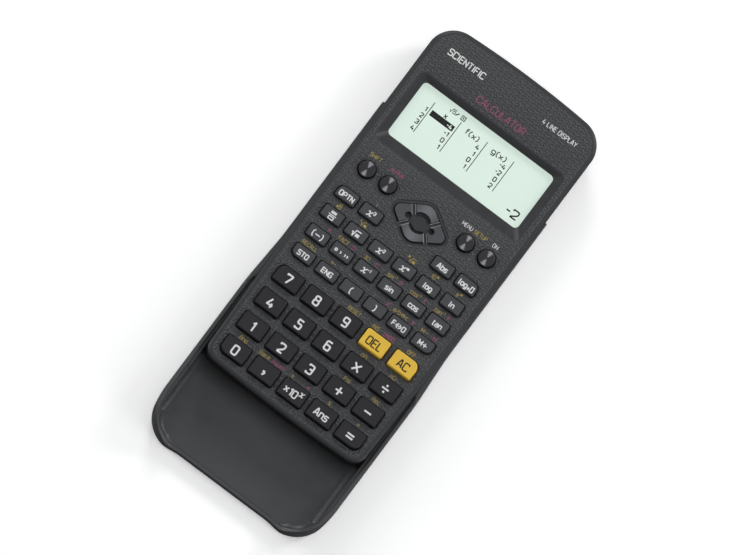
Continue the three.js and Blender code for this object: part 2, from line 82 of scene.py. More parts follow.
# ---------------------------------------------------------------- plan outlines
class Outline:
    """A closed anticlockwise outline through (x, y, radius) corners. It can be drawn inset, point for point."""

    def __init__(self, corners, detail=4.0):
        self.corners = []
        count = len(corners)
        for i, (x, y, radius) in enumerate(corners):
            here = Vector((x, y))
            before = (Vector(corners[i - 1][:2]) - here).normalized()
            after = (Vector(corners[(i + 1) % count][:2]) - here).normalized()
            half = math.acos(max(-1.0, min(1.0, before.dot(after)))) / 2
            convex = before.x * after.y - before.y * after.x < 0
            turn = math.pi - 2 * half
            steps = max(2, round(turn * math.sqrt(radius) * detail))
            self.corners.append((here, before, (before + after).normalized(), half, convex, turn, steps, radius))

    def ring(self, inset=0.0, parts=1):
        """Points of the outline. Each straight side is divided into "parts"."""
        arcs = []
        for here, before, inward, half, convex, turn, steps, radius in self.corners:
            side = 1 if convex else -1
            corner = here + inward * (side * inset / math.sin(half))
            reach = max(radius - side * inset, 0.02)
            start = corner + before * (reach / math.tan(half))
            centre = corner + inward * (reach / math.sin(half))
            arm = start - centre
            arc = []
            for step in range(steps + 1):
                angle = side * turn * step / steps
                cosine, sine = math.cos(angle), math.sin(angle)
                arc.append((
                    centre.x + arm.x * cosine - arm.y * sine,
                    centre.y + arm.x * sine + arm.y * cosine,
                ))
            arcs.append(arc)
        points = []
        for arc, following in zip(arcs, arcs[1:] + arcs[:1]):
            (x, y), (next_x, next_y) = arc[-1], following[0]
            points += arc
            points += [(x + (next_x - x) * k / parts, y + (next_y - y) * k / parts) for k in range(1, parts)]
        return points


def rectangle(width, length, radius, wide=None, wide_radius=0.0, x=0.0, y=0.0, detail=4.0):
    """A rounded rectangle. "wide" names one corner, such as "top_left", that has the wider radius."""
    signs = {"bottom_right": (1, -1), "top_right": (1, 1), "top_left": (-1, 1), "bottom_left": (-1, -1)}
    return Outline([
        (x + sx * width / 2, y + sy * length / 2, wide_radius if name == wide else radius)
        for name, (sx, sy) in signs.items()
    ], detail)


def rhombus(half_x, half_y, side_round, end_round, inset=0.0, y=0.0):
    slope = math.atan2(half_y, half_x)
    half_x -= inset / math.sin(slope)
    half_y -= inset / math.cos(slope)
    side_round = max(side_round - inset, 0.4)
    end_round = max(end_round - inset, 0.4)
    return Outline([
        (half_x, y, side_round), (0, y + half_y, end_round), (-half_x, y, side_round), (0, y - half_y, end_round),
    ])


def mirrored(corners):
    """The same corners on the other side, in the order that carries on round the outline."""
    return [(-x, y, radius) for x, y, radius in reversed(corners)]


def body_outline(detail=4.0):
    """The calculator's plan: bowed ends, and sides that narrow towards the low end."""
    right = [(LOW_END_HALF_WIDTH, LOW_END + 1.1, 6), (HALF_WIDTH, -10, 300), (HALF_WIDTH, TOP_END - 1.6, 11.5)]
    return Outline([*right, (0, TOP_END + 0.85, 400), *mirrored(right), (0, LOW_END - 0.35, 700)], detail)


# ---------------------------------------------------------------- mesh building
class Builder:
    """Collects closed shells in millimetres, then makes one piece of them."""

    def __init__(self):
        self.points = []
        self.faces = []
        self.finishes = []

    def add(self, points, faces, finish=0):
        start = len(self.points)
        self.points += [tuple(p) for p in points]
        self.faces += [tuple(start + i for i in face) for face in faces]
        self.finishes += [finish] * len(faces)
        return self

    def loft(self, rings, finish=0):
        """Closed shell over equal rings of (x, y, z) points, from the lowest to the highest."""
        count = len(rings[0])
        points = [p for ring in rings for p in ring]
        faces = [tuple(reversed(range(count)))]
        for level in range(len(rings) - 1):
            base = level * count
            for i in range(count):
                j = (i + 1) % count
                faces.append((base + i, base + j, base + count + j, base + count + i))
        top = (len(rings) - 1) * count
        faces.append(tuple(range(top, top + count)))
        return self.add(points, faces, finish)

    def stack(self, outline, levels, finish=0):
        """Loft of one outline at (inset, z) levels."""
        return self.loft([[(x, y, z) for x, y in outline.ring(inset)] for inset, z in levels], finish)

    def lathe(self, profile, x, y, sides=48, finish=0):
        """Closed shell turned about an upright axis, from (radius, z) points of rising height on the outside."""
        rings = []
        for radius, z in profile:
            turns = [2 * math.pi * i / sides for i in range(sides)]
            rings.append([(x + radius * math.cos(t), y + radius * math.sin(t), z) for t in turns])
        return self.loft(rings, finish)

    def box(self, low_x, high_x, low_y, high_y, low, high, finish=0):
        plan = [(low_x, low_y), (high_x, low_y), (high_x, high_y), (low_x, high_y)]
        return self.loft([[(x, y, z) for x, y in plan] for z in (low, high)], finish)

    def mesh(self, name):
        mesh = bpy.data.meshes.new(name)
        mesh.from_pydata([(x * MM, y * MM, z * MM) for x, y, z in self.points], [], self.faces)
        mesh.polygons.foreach_set("material_index", self.finishes)
        mesh.update()
        return mesh

    def object(self, name, materials, sharp=35):
        piece = bpy.data.objects.new(name, self.mesh(name))
        bpy.context.scene.collection.objects.link(piece)
        for material in materials:
            piece.data.materials.append(material)
        smooth(piece, sharp)
        return piece


def smooth(piece, sharp=35):
    """Smooth shading, except across edges sharper than "sharp" degrees."""
    piece.data.shade_smooth()
    piece.data.set_sharp_from_angle(angle=math.radians(sharp))


def baked(piece):
    """Turns a piece's modifiers into its mesh."""
    graph = bpy.context.evaluated_depsgraph_get()
    mesh = bpy.data.meshes.new_from_object(piece.evaluated_get(graph), depsgraph=graph)
    piece.modifiers.clear()
    piece.data = mesh
    return piece


def combine(piece, other, operation="DIFFERENCE"):
    """Cuts or joins "piece" with the throw-away object "other"."""
    modifier = piece.modifiers.new("combine", "BOOLEAN")
    modifier.operation = operation
    modifier.solver = "EXACT"
    modifier.object = other
    baked(piece)
    bpy.data.objects.remove(other)
    return piece


def bevelled(piece, width, segments=3, angle=30):
    modifier = piece.modifiers.new("bevel", "BEVEL")
    modifier.width = width * MM
    modifier.segments = segments
    modifier.limit_method = "ANGLE"
    modifier.angle_limit = math.radians(angle)
    modifier.use_clamp_overlap = True
    modifier.harden_normals = False
    return baked(piece)


def placed(piece, body, slot, *nodes):
    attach(piece, body)
    if nodes:
        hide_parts(*nodes)
    return piece


def fillet(radius, base_inset, base_z, steps=5, rising=True):
    """(inset, z) levels of a quarter round: out to in at the top of a solid, or in to out at its foot."""
    levels = []
    for i in range(steps + 1):
        turn = math.pi / 2 * i / steps
        if rising:
            levels.append((base_inset + radius * (1 - math.cos(turn)), base_z + radius * math.sin(turn)))
        else:
            levels.append((base_inset + radius * (1 - math.sin(turn)), base_z + radius * (1 - math.cos(turn))))
    return levels


# ---------------------------------------------------------------- materials
def linear(red, green, blue):
    """Linear colour from 0 to 255 display values."""
    def one(value):
        value /= 255
        return value / 12.92 if value <= 0.04045 else ((value + 0.055) / 1.055) ** 2.4
    return (one(red), one(green), one(blue), 1.0)


class Nodes:
    """Short calls for the node graph of one material."""

    def __init__(self, name):
        self.material = bpy.data.materials.new(name)
        self.material.use_nodes = True
        self.tree = self.material.node_tree
        self.shader = self.tree.nodes["Principled BSDF"]
        self.place = self.new("ShaderNodeTexCoord").outputs["Object"]

    def new(self, kind, **values):
        node = self.tree.nodes.new(kind)
        for key, value in values.items():
            if hasattr(node, key):
                setattr(node, key, value)
            else:
                node.inputs[key.replace("_", " ")].default_value = value
        return node

    def link(self, output, node, name):
        self.tree.links.new(output, node.inputs[name])

    def set(self, **values):
        for key, value in values.items():
            self.shader.inputs[key.replace("_", " ")].default_value = value

    def noise(self, size, detail=3.0, roughness=0.5, distortion=0.0, place=None):
        """Noise with features about "size" millimetres wide."""
        node = self.new("ShaderNodeTexNoise", Scale=1 / (size * MM), Detail=detail, Roughness=roughness)
        node.inputs["Distortion"].default_value = distortion
        self.link(place or self.place, node, "Vector")
        return node.outputs["Fac"]

    def cells(self, size, feature="F1", smoothness=None, place=None):
        node = self.new("ShaderNodeTexVoronoi", feature=feature, Scale=1 / (size * MM))
        if smoothness is not None:
            node.inputs["Smoothness"].default_value = smoothness
        self.link(place or self.place, node, "Vector")
        return node.outputs["Distance"]

    def ranged(self, value, low, high, from_low=0.0, from_high=1.0, smooth=False):
        node = self.new("ShaderNodeMapRange", interpolation_type="SMOOTHSTEP" if smooth else "LINEAR")
        node.inputs["From Min"].default_value = from_low
        node.inputs["From Max"].default_value = from_high
        node.inputs["To Min"].default_value = low
        node.inputs["To Max"].default_value = high
        self.link(value, node, "Value")
        return node.outputs["Result"]

    def math(self, operation, first, second):
        node = self.new("ShaderNodeMath", operation=operation)
        for i, value in enumerate((first, second)):
            if isinstance(value, (int, float)):
                node.inputs[i].default_value = value
            else:
                self.tree.links.new(value, node.inputs[i])
        return node.outputs[0]

    def wrapped(self, value, half):
        """The value folded into the range from -half to half."""
        node = self.new("ShaderNodeMath", operation="WRAP")
        self.tree.links.new(value, node.inputs[0])
        node.inputs[1].default_value = half
        node.inputs[2].default_value = -half
        return node.outputs[0]

    def mixed(self, factor, first, second):
        node = self.new("ShaderNodeMix", data_type="RGBA")
        self.tree.links.new(factor, node.inputs[0])
        for socket, value in ((node.inputs[6], first), (node.inputs[7], second)):
            if isinstance(value, tuple):
                socket.default_value = value
            else:
                self.tree.links.new(value, socket)
        return node.outputs[2]

    def bump(self, height, depth, strength=1.0, under=None):
        """Bump of "depth" millimetres between heights 0 and 1."""
        node = self.new("ShaderNodeBump", Strength=strength, Distance=depth * MM)
        self.link(height, node, "Height")
        if under is not None:
            self.link(under, node, "Normal")
        return node.outputs["Normal"]

    def shade(self, color=None, roughness=None, normal=None):
        for output, name in ((color, "Base Color"), (roughness, "Roughness"), (normal, "Normal")):
            if output is not None:
                self.link(output, self.shader, name)
        return self.material


def scaled(color, factor):
    return tuple(channel * factor for channel in color[:3]) + (1.0,)


def moulded(name, color, roughness, texture_size=0.12, texture_depth=0.006, variation=0.06, specular=0.5):
    """Moulded plastic: a fine surface texture, slow tone changes and handling marks in the gloss."""
    nodes = Nodes(name)
    nodes.set(Specular_IOR_Level=specular)
    slow = nodes.noise(14, 2)
    tone = nodes.mixed(slow, scaled(color, 1 - variation), scaled(color, 1 + variation))
    marks = nodes.noise(4, 5, 0.65, 0.4)
    gloss = nodes.ranged(marks, roughness - 0.06, roughness + 0.08, 0.3, 0.7)
    return nodes.shade(tone, gloss, nodes.bump(nodes.noise(texture_size, 3), texture_depth))


GRAIN_PITCH = 2.5
GRAIN_ARM = 1.2
GRAIN_CENTRE = 0.3


def grain_distance(nodes, place, shift):
    """Distance in millimetres to the nearest raised "Y" of a lattice with the grain's pitch, moved by "shift" pitches."""
    across, along = GRAIN_PITCH * math.sqrt(3), GRAIN_PITCH
    split = nodes.new("ShaderNodeSeparateXYZ")
    nodes.link(place, split, 0)
    x = nodes.wrapped(nodes.math("ADD", split.outputs["X"], shift * across), across / 2)
    y = nodes.wrapped(nodes.math("ADD", split.outputs["Y"], shift * along + GRAIN_CENTRE), along / 2)
    y = nodes.math("SUBTRACT", y, GRAIN_CENTRE)
    distances = []
    for side, angle in ((nodes.math("ABSOLUTE", x, 0), math.radians(30)), (x, math.radians(-90))):
        cosine, sine = math.cos(angle), math.sin(angle)
        reach = nodes.math("ADD", nodes.math("MULTIPLY", side, cosine), nodes.math("MULTIPLY", y, sine))
        reach = nodes.math("MAXIMUM", nodes.math("MINIMUM", reach, GRAIN_ARM), 0)
        off_x = nodes.math("SUBTRACT", side, nodes.math("MULTIPLY", reach, cosine))
        off_y = nodes.math("SUBTRACT", y, nodes.math("MULTIPLY", reach, sine))
        square = nodes.math("ADD", nodes.math("POWER", off_x, 2), nodes.math("POWER", off_y, 2))
        distances.append(nodes.math("SQRT", square, 0))
    return nodes.math("MINIMUM", *distances)


def leather_grain(name, color):
    """Plastic moulded with a woven leather grain: raised "Y" shapes that fit into each other. Its colour follows the
    grain's height: painted shade in the valleys and painted highlight on the ridges.
    """
    nodes = Nodes(name)
    nodes.set(Specular_IOR_Level=0.5)
    wander = nodes.new("ShaderNodeTexNoise", Scale=1 / (2.2 * MM), Detail=2.0)
    nodes.link(nodes.place, wander, "Vector")
    push = nodes.new("ShaderNodeVectorMath", operation="SCALE")
    nodes.link(wander.outputs["Color"], push, 0)
    push.inputs["Scale"].default_value = 0.9
    inches = nodes.new("ShaderNodeVectorMath", operation="SCALE")
    nodes.link(nodes.place, inches, 0)
    inches.inputs["Scale"].default_value = 1 / MM
    moved = nodes.new("ShaderNodeVectorMath", operation="ADD")
    nodes.link(inches.outputs[0], moved, 0)
    nodes.link(push.outputs[0], moved, 1)
    distance = nodes.math("MINIMUM", *(grain_distance(nodes, moved.outputs[0], shift) for shift in (0, 0.5)))
    ridge = nodes.ranged(distance, 1, 0, 0.12, 0.62, smooth=True)
    crease = nodes.noise(0.5, 4, 0.6, 0.5)
    height = nodes.math("ADD", ridge, nodes.math("MULTIPLY", crease, 0.35))
    # painted shade and highlight: 0.78 times the colour in the valleys, 1.15 times on the ridges
    tone = nodes.mixed(nodes.ranged(height, 0, 1, 0.1, 1.2), scaled(color, 0.78), scaled(color, 1.15))
    gloss = nodes.ranged(nodes.noise(3, 4), 0.46, 0.56, 0.3, 0.7)
    coarse = nodes.bump(height, 0.16, 1.0)
    return nodes.shade(tone, gloss, nodes.bump(nodes.noise(0.1, 2), 0.004, 1.0, coarse))


def printed(name, color):
    """Pad-printed ink: nearly matt, with a slight unevenness."""
    nodes = Nodes(name)
    nodes.set(Specular_IOR_Level=0.3)
    patch = nodes.noise(0.35, 3)
    tone = nodes.mixed(patch, scaled(color, 0.92), color)
    return nodes.shade(tone, nodes.ranged(patch, 0.5, 0.65), nodes.bump(nodes.noise(0.08, 2), 0.002))


def turned_metal(name, color, painted_glint, x, y):
    """Metallised round key face about (x, y), with fine turning rings in its gloss and bump. Two wedges above and
    below its centre are painted in a bright colour: a painted highlight of the spun metal.
    """
    nodes = Nodes(name)
    nodes.set(Metallic=0.5, Specular_IOR_Level=0.4)
    split = nodes.new("ShaderNodeSeparateXYZ")
    nodes.link(nodes.place, split, 0)
    across = nodes.math("ABSOLUTE", nodes.math("SUBTRACT", split.outputs["X"], x * MM), 0)
    along = nodes.math("ABSOLUTE", nodes.math("SUBTRACT", split.outputs["Y"], y * MM), 0)
    # painted highlight: the colour turns bright in two wedges along Y from each key's centre, whatever the lamps do
    wedge = nodes.ranged(nodes.math("DIVIDE", across, along), 1, 0, 0.03, 0.6, smooth=True)
    distance = nodes.math("SQRT", nodes.math("ADD", nodes.math("POWER", across, 2), nodes.math("POWER", along, 2)), 0)
    wedge = nodes.math("MULTIPLY", wedge, nodes.ranged(distance, 0, 1, 0.2 * MM, 0.9 * MM))
    rings = nodes.math("PINGPONG", distance, 0.05 * MM)
    turned = nodes.ranged(rings, 0, 1, 0, 0.05 * MM)
    return nodes.shade(nodes.mixed(wedge, color, painted_glint), nodes.ranged(turned, 0.36, 0.42), nodes.bump(turned, 0.001))


def satin_metal(name, color):
    """Metallic paint with a fine sparkle. Its colour is painted brighter along the middle of the cursor pad and darker
    to the sides: a painted sheen.
    """
    nodes = Nodes(name)
    nodes.set(Metallic=0.5, Specular_IOR_Level=0.5)
    flake = nodes.noise(0.07, 2, 0.7)
    split = nodes.new("ShaderNodeSeparateXYZ")
    nodes.link(nodes.place, split, 0)
    # painted sheen: 1.5 times the colour at X = 0, down to 0.75 times from 6 mm out
    middle = nodes.ranged(nodes.math("ABSOLUTE", split.outputs["X"], 0), 1, 0, 0, 6 * MM, smooth=True)
    tone = nodes.mixed(middle, scaled(color, 0.75), scaled(color, 1.5))
    return nodes.shade(tone, nodes.ranged(flake, 0.34, 0.46, 0.3, 0.7), nodes.bump(flake, 0.003))


def display_glass(name, color):
    """The display's reflector seen through the liquid crystal, with its faint dot grid. It glows with emission, though
    it has no lamp: painted light that keeps it evenly bright, with its lit colour cut to 0.4.
    """
    nodes = Nodes(name)
    # painted light: emission gives most of the display's brightness
    nodes.set(Specular_IOR_Level=0.25, Emission_Color=color, Emission_Strength=0.68)
    color = scaled(color, 0.4)
    grid = nodes.new("ShaderNodeTexBrick", Scale=1.0, offset=0.0)
    for socket, value in (("Mortar Size", 0.02 * MM), ("Brick Width", 0.34 * MM), ("Row Height", 0.34 * MM)):
        grid.inputs[socket].default_value = value
    nodes.link(nodes.place, grid, "Vector")
    dots = nodes.mixed(grid.outputs["Fac"], color, scaled(color, 0.985))
    slow = nodes.noise(9, 2)
    tone = nodes.new("ShaderNodeMix", data_type="RGBA", blend_type="MULTIPLY")
    tone.inputs[0].default_value = 1.0
    nodes.tree.links.new(dots, tone.inputs[6])
    shade = nodes.mixed(slow, (0.975, 0.98, 0.975, 1), (1, 1, 1, 1))
    nodes.tree.links.new(shade, tone.inputs[7])
    return nodes.shade(tone.outputs[2], nodes.ranged(slow, 0.45, 0.55), nodes.bump(nodes.noise(0.2, 2), 0.001))


def clear_acrylic(name):
    """Clear window: what lies below shows through, with a weak reflection and a few hairline scratches."""
    nodes = Nodes(name)
    nodes.material.blend_method = "BLEND"
    clear = nodes.new("ShaderNodeBsdfTransparent", Color=(0.985, 0.99, 0.987, 1))
    gloss = nodes.new("ShaderNodeBsdfGlossy", Color=(1, 1, 1, 1))
    hairs = nodes.noise(0.5, 6, 0.7, 2.0)
    nodes.link(nodes.ranged(hairs, 0.05, 0.16, 0.45, 0.6), gloss, "Roughness")
    nodes.link(nodes.bump(nodes.noise(6, 2), 0.01), gloss, "Normal")
    fresnel = nodes.new("ShaderNodeFresnel", IOR=1.2)
    join = nodes.new("ShaderNodeMixShader")
    outside = nodes.math("SUBTRACT", 1, nodes.new("ShaderNodeNewGeometry").outputs["Backfacing"])
    nodes.link(nodes.math("MULTIPLY", fresnel.outputs[0], outside), join, 0)
    nodes.link(clear.outputs[0], join, 1)
    nodes.link(gloss.outputs[0], join, 2)
    output = nodes.tree.nodes["Material Output"]
    nodes.link(join.outputs[0], output, "Surface")
    return nodes.material


def steel(name, color, roughness):
    nodes = Nodes(name)
    nodes.set(Metallic=1.0)
    scratches = nodes.noise(0.6, 6, 0.7, 1.5)
    tone = nodes.mixed(nodes.noise(2, 3), scaled(color, 0.85), color)
    gloss = nodes.ranged(scratches, roughness - 0.08, roughness + 0.1, 0.35, 0.65)
    return nodes.shade(tone, gloss, nodes.bump(scratches, 0.003))


GRAIN_WITH_PAINTED_SHADING = leather_grain("leather_grain_plastic_painted_shading", linear(59, 60, 62))
# painted shade: the same case plastic, drawn far darker and with a weaker reflection on the case's rounded edges,
# sides and the walls of its openings
EDGE_PAINTED_SHADE = moulded("smooth_edge_painted_shade", linear(26, 26, 28), 0.42, 0.18, 0.004, specular=0.16)
ROUNDING = moulded("smooth_face_rounding", linear(54, 55, 57), 0.42, 0.18, 0.004, specular=0.3)
RECESS = moulded("display_recess", linear(48, 49, 52), 0.34, 0.12, 0.004)
REAR_PLASTIC = moulded("rear_plastic", linear(52, 52, 54), 0.58, 0.28, 0.02)
COVER_PLASTIC = moulded("cover_plastic", linear(66, 67, 69), 0.4, 0.3, 0.003)
NUMBER_PLASTIC = moulded("number_key_plastic", linear(38, 38, 41), 0.4, 0.14, 0.004, specular=0.3)
FUNCTION_PLASTIC = moulded("function_key_plastic", linear(62, 63, 67), 0.4, 0.14, 0.004)
YELLOW_PLASTIC = moulded("yellow_key_plastic", linear(234, 192, 70), 0.4, 0.14, 0.004, 0.03, 0.3)
TURNED_DARK = linear(52, 52, 55)
# bright colour of the painted highlight wedges on the round keys
TURNED_PAINTED_GLINT = linear(156, 156, 160)
# cursor keys: metal with a painted sheen along the pad's middle
CURSOR_METAL = satin_metal("cursor_key_metal", linear(94, 95, 99))
# near-white metal of the painted highlight lines on the spokes
SPOKE_PAINTED_HIGHLIGHT = satin_metal("spoke_painted_highlight_metal", linear(196, 197, 200))
KEY_SIDE = moulded("key_side_plastic", linear(24, 24, 26), 0.4, 0.14, 0.004)
WHITE_INK = printed("white_ink", linear(232, 232, 232))
DARK_INK = printed("dark_ink", linear(34, 30, 24))
SHIFT_INK = printed("shift_ink", linear(172, 154, 84))
ALPHA_INK = printed("alpha_ink", linear(164, 84, 120))
MINT_PAINTED_GLOW = display_glass("display_mint_painted_glow", linear(222, 238, 228))
SEGMENT = printed("display_segments", linear(10, 14, 13))
ACRYLIC = clear_acrylic("clear_acrylic")
SCREW_STEEL = steel("screw_steel", linear(150, 151, 153), 0.36)
CELL_STEEL = steel("cell_steel", linear(196, 196, 190), 0.3)
SILICONE = moulded("mat_silicone", linear(150, 152, 156), 0.7, 0.3, 0.01)
BOARD_LACQUER = moulded("board_lacquer", linear(44, 92, 60), 0.35, 0.4, 0.01, 0.12)


# ---------------------------------------------------------------- lettering
# Each glyph is its width and its strokes on a grid where capitals are 6 high. A stroke is a list of x,y points:
# "!" before it keeps its corners sharp, "o" after it closes it, and "#w" before it sets its own width.
GLYPHS = {
    "0": (4, "0,0 4,0 4,6 0,6 o"), "1": (2, "!0.2,4.7 1.8,6 1.8,0"),
    "2": (4, "0,4.8 0,6 4,6 4,3.3 0,0.3|!-0.1,0 4.2,0"), "3": (4, "0,5 0,6 4,6 4,0 0,0 0,1|!1.4,3.1 3.9,3.1"),
    "4": (4.2, "!2.1,6 0,1.6 4.6,1.6|!3.3,3.2 3.3,0"), "5": (4, "!4,6 0.3,6 0.3,3.4|0.3,3.4 4,3.4 4,0 0,0 0,0.9"),
    "6": (4, "3.8,6 0,6 0,0 4,0 4,3.4 0.2,3.4"), "7": (4, "!0,5 0,6 4,6 4,5 1.8,0"),
    "8": (4, "0.2,3.2 0.2,6 3.8,6 3.8,3.2 o|0,0 4,0 4,3.2 0,3.2 o"), "9": (4, "0.2,0 4,0 4,6 0,6 0,2.7 3.8,2.7"),
    "A": (4.2, "!0,0 1.7,6 2.5,6 4.2,0|!0.7,1.8 3.5,1.8"), "B": (4, "0,0 0,6 3.7,6 3.7,3.2 0,3.2|0,3.2 4,3.2 4,0 0,0"),
    "C": (4, "4,4.8 4,6 0,6 0,0 4,0 4,1.2"), "D": (4, "0,0 4,0 4,6 0,6 o"),
    "E": (3.6, "!3.6,6 0,6 0,0 3.6,0|!0,3.1 3.3,3.1"), "F": (3.5, "!3.5,6 0,6 0,0|!0,3 3.2,3"),
    "G": (4, "4,4.8 4,6 0,6 0,0 4,0 4,2.9 2.2,2.9"), "H": (4, "!0,0 0,6|!4,0 4,6|!0,3.1 4,3.1"),
    "I": (0.8, "!0.4,0 0.4,6"), "L": (3.4, "!0,6 0,0 3.4,0"), "M": (4.8, "!0,0 0,6 2.4,1.6 4.8,6 4.8,0"),
    "N": (4, "!0,0 0,6 4,0 4,6"), "O": (4, "0,0 4,0 4,6 0,6 o"), "P": (4, "0,0 0,6 4,6 4,2.7 0,2.7"),
    "R": (4, "0,0 0,6 4,6 4,2.9 0,2.9|!2.2,2.9 4.1,0"), "S": (4, "4,5 4,6 0,6 0,3.1 4,3.1 4,0 0,0 0,1"),
    "T": (4, "!2,0 2,6|!-0.1,6 4.1,6"), "U": (4, "0,6 0,0 4,0 4,6"), "Y": (4, "!0,6 2,3 4,6|!2,3 2,0"),
    "a": (3.6, "0.2,4.4 3.6,4.4 3.6,0 0,0 0,2.5 3.5,2.5"), "b": (3.6, "!0,6.4 0,1|0,1 0,0 3.6,0 3.6,4.4 0,4.4"),
    "c": (3.4, "3.4,3.5 3.4,4.4 0,4.4 0,0 3.4,0 3.4,0.9"), "d": (3.6, "!3.6,6.4 3.6,1|3.6,1 3.6,0 0,0 0,4.4 3.6,4.4"),
    "e": (3.5, "3.4,0 0,0 0,4.4 3.5,4.4 3.5,2.2 0,2.2"), "f": (2.6, "2.8,6.4 1,6.4 1,0|!0,4.4 2.5,4.4"),
    "g": (3.6, "3.6,0.4 0,0.4 0,4.4 3.6,4.4 3.6,-1.7 0.2,-1.7"), "i": (0.8, "!0.4,0 0.4,4.6|!0.4,5.6 0.4,6.5"),
    "l": (1.3, "0.4,6.5 0.4,0 1.3,0"), "n": (3.5, "!0,0 0,4.6|0,4.4 3.5,4.4 3.5,0"), "o": (3.6, "0,0 3.6,0 3.6,4.4 0,4.4 o"),
    "r": (2.4, "!0,0 0,4.6|0,3.4 0,4.4 2.4,4.4"), "s": (3.3, "3.3,3.8 3.3,4.4 0,4.4 0,2.3 3.3,2.3 3.3,0 0,0 0,0.6"),
    "t": (2.7, "0.9,6 0.9,0 2.7,0|!0,4.4 2.6,4.4"), "x": (3.4, "!0,0 3.4,4.4|!0,4.4 3.4,0"),
    "~": (6.3, "0.1,4.7 1,5.9 2,5.2 3.9,0.7 5,-0.1 6.4,1.2|6.4,5.6 5.7,6 4.6,5.2 1.7,0.6 0.7,-0.1 -0.1,0.5"),
    "`": (5, "0.1,5.2 1,6 1.9,5.2 2.8,1.2|5.2,6 2.8,0.6 1.2,-1.8 0,-1.6"),
    "+": (5.6, "!0,3 5.6,3|!2.8,0.2 2.8,5.8"), "-": (5.6, "!0,3 5.6,3"), "_": (2.6, "!0,2.9 2.6,2.9"),
    "*": (4.4, "!0.3,0.9 4.1,4.9|!0.3,4.9 4.1,0.9"), "=": (5.8, "!0,1.95 5.8,1.95|!0,4.05 5.8,4.05"),
    "/": (2.6, "!0,0 2.6,6"), "\\": (5.6, "!0,3 5.6,3|#1.3 !2.8,4.7 2.8,6|#1.3 !2.8,0 2.8,1.3"),
    ",": (2, "#1.7 !1,2.3 1,3.8|2,3 1.5,1.6 0.6,0.7"), "(": (1.8, "1.8,6.6 0.2,5.2 0.2,0.8 1.8,-0.6"),
    ")": (1.8, "0,6.6 1.6,5.2 1.6,0.8 0,-0.6"), "@": (3, "0.2,1.5 3,1.5 3,4.3 0.2,4.3 o"),
    "'": (2, "#1.6 !0.8,3.1 0.8,4.5|1.6,3.4 1.2,2.2 0.4,1.4"), "!": (0.9, "!0.8,1.8 1.2,6|!0.5,0 0.55,0.7"),
    "#": (4, "!0.8,0 1.4,6|!2.6,0 3.2,6|!0,2 4,2|!0.2,4 4.2,4"), ":": (0.8, "!0.4,0.6 0.4,1.6|!0.4,3.4 0.4,4.4"),
    "%": (4, "!0,0 4,6|0,4.2 1.3,4.2 1.3,6 0,6 o|2.7,0 4,0 4,1.8 2.7,1.8 o"),
    ";": (0.9, "!0.5,3.4 0.5,4.4|!0.6,1.6 0.5,0.6 0,-0.3"), "p": (4, "!0,4.4 4,4.4|!1.1,0 1.1,4.4|!2.9,0 2.9,4.4"),
    "w": (4.4, "0,3.6 1.1,4.6 3.2,3.6 4.4,4.6|0,1.8 1.1,2.8 3.2,1.8 4.4,2.8"), "<": (9, "!0.2,3 9,3|!2.6,5.2 0.2,3 2.6,0.8"),
    "&": (8.2, "#1.4 !2.2,3 6,3|!3.3,5.9 0.3,3 3.3,0.1|!4.9,5.9 7.9,3 4.9,0.1"), "[": (2.6, "#3.2 !-0.1,1.4 2.7,1.4"),
    "]": (3.8, "!0.2,-0.6 3.8,-0.6 3.8,6 0.2,6 o"), "^": (6, "#5.2 !0,2.8 6,2.8"),
    "$": (7.2, "#3.1 !-0.2,7.1 7.4,7.1|#1.1 !-2,3.6 9.2,3.6|!0.2,-2 7,-2 7,1.5 0.2,1.5 o"),
    "?": (11, "!-0.4,2.7 0.9,3.4 2.3,-1.6 4.2,6.8 11.2,6.8|#4.1 !5.4,1.4 10.8,1.4"), " ": (1.6, ""),
    "X": (5.2, "!0,0.4 5.2,5.6|!0,5.6 5.2,0.4"), "u": (4, "0,3.5 4,3.5 4,7 0,7 o|0,-1 4,-1 4,2.5 0,2.5 o"),
}
FAMILY_GAP = 1.5
RAISED_SCALE = 0.6
RAISED_BY = 4.2
INK_LIFT = 0.045
INK_SUNK = 0.03


def rounded_path(points, radius, closed):
    """The polyline with its corners rounded, each by a short curve."""
    path = []
    count = len(points)
    for i, point in enumerate(points):
        if not closed and i in (0, count - 1):
            path.append(point)
            continue
        before, after = points[i - 1] - point, points[(i + 1) % count] - point
        reach = min(radius, before.length * 0.45, after.length * 0.45)
        start = point + before.normalized() * reach
        end = point + after.normalized() * reach
        steps = 4 if radius > 0.1 else 1
        for step in range(steps + 1):
            t = step / steps
            path.append(start * (1 - t) ** 2 + point * (2 * t * (1 - t)) + end * t ** 2)
    return path


def even_steps(path, longest, closed):
    """The path with its long stretches divided, so that it can follow a curved surface."""
    ends = path[1:] + path[:1] if closed else path[1:]
    fine = []
    for start, end in zip(path, ends):
        parts = max(1, math.ceil((end - start).length / longest))
        fine += [start.lerp(end, k / parts) for k in range(parts)]
    return fine if closed else fine + [path[-1]]


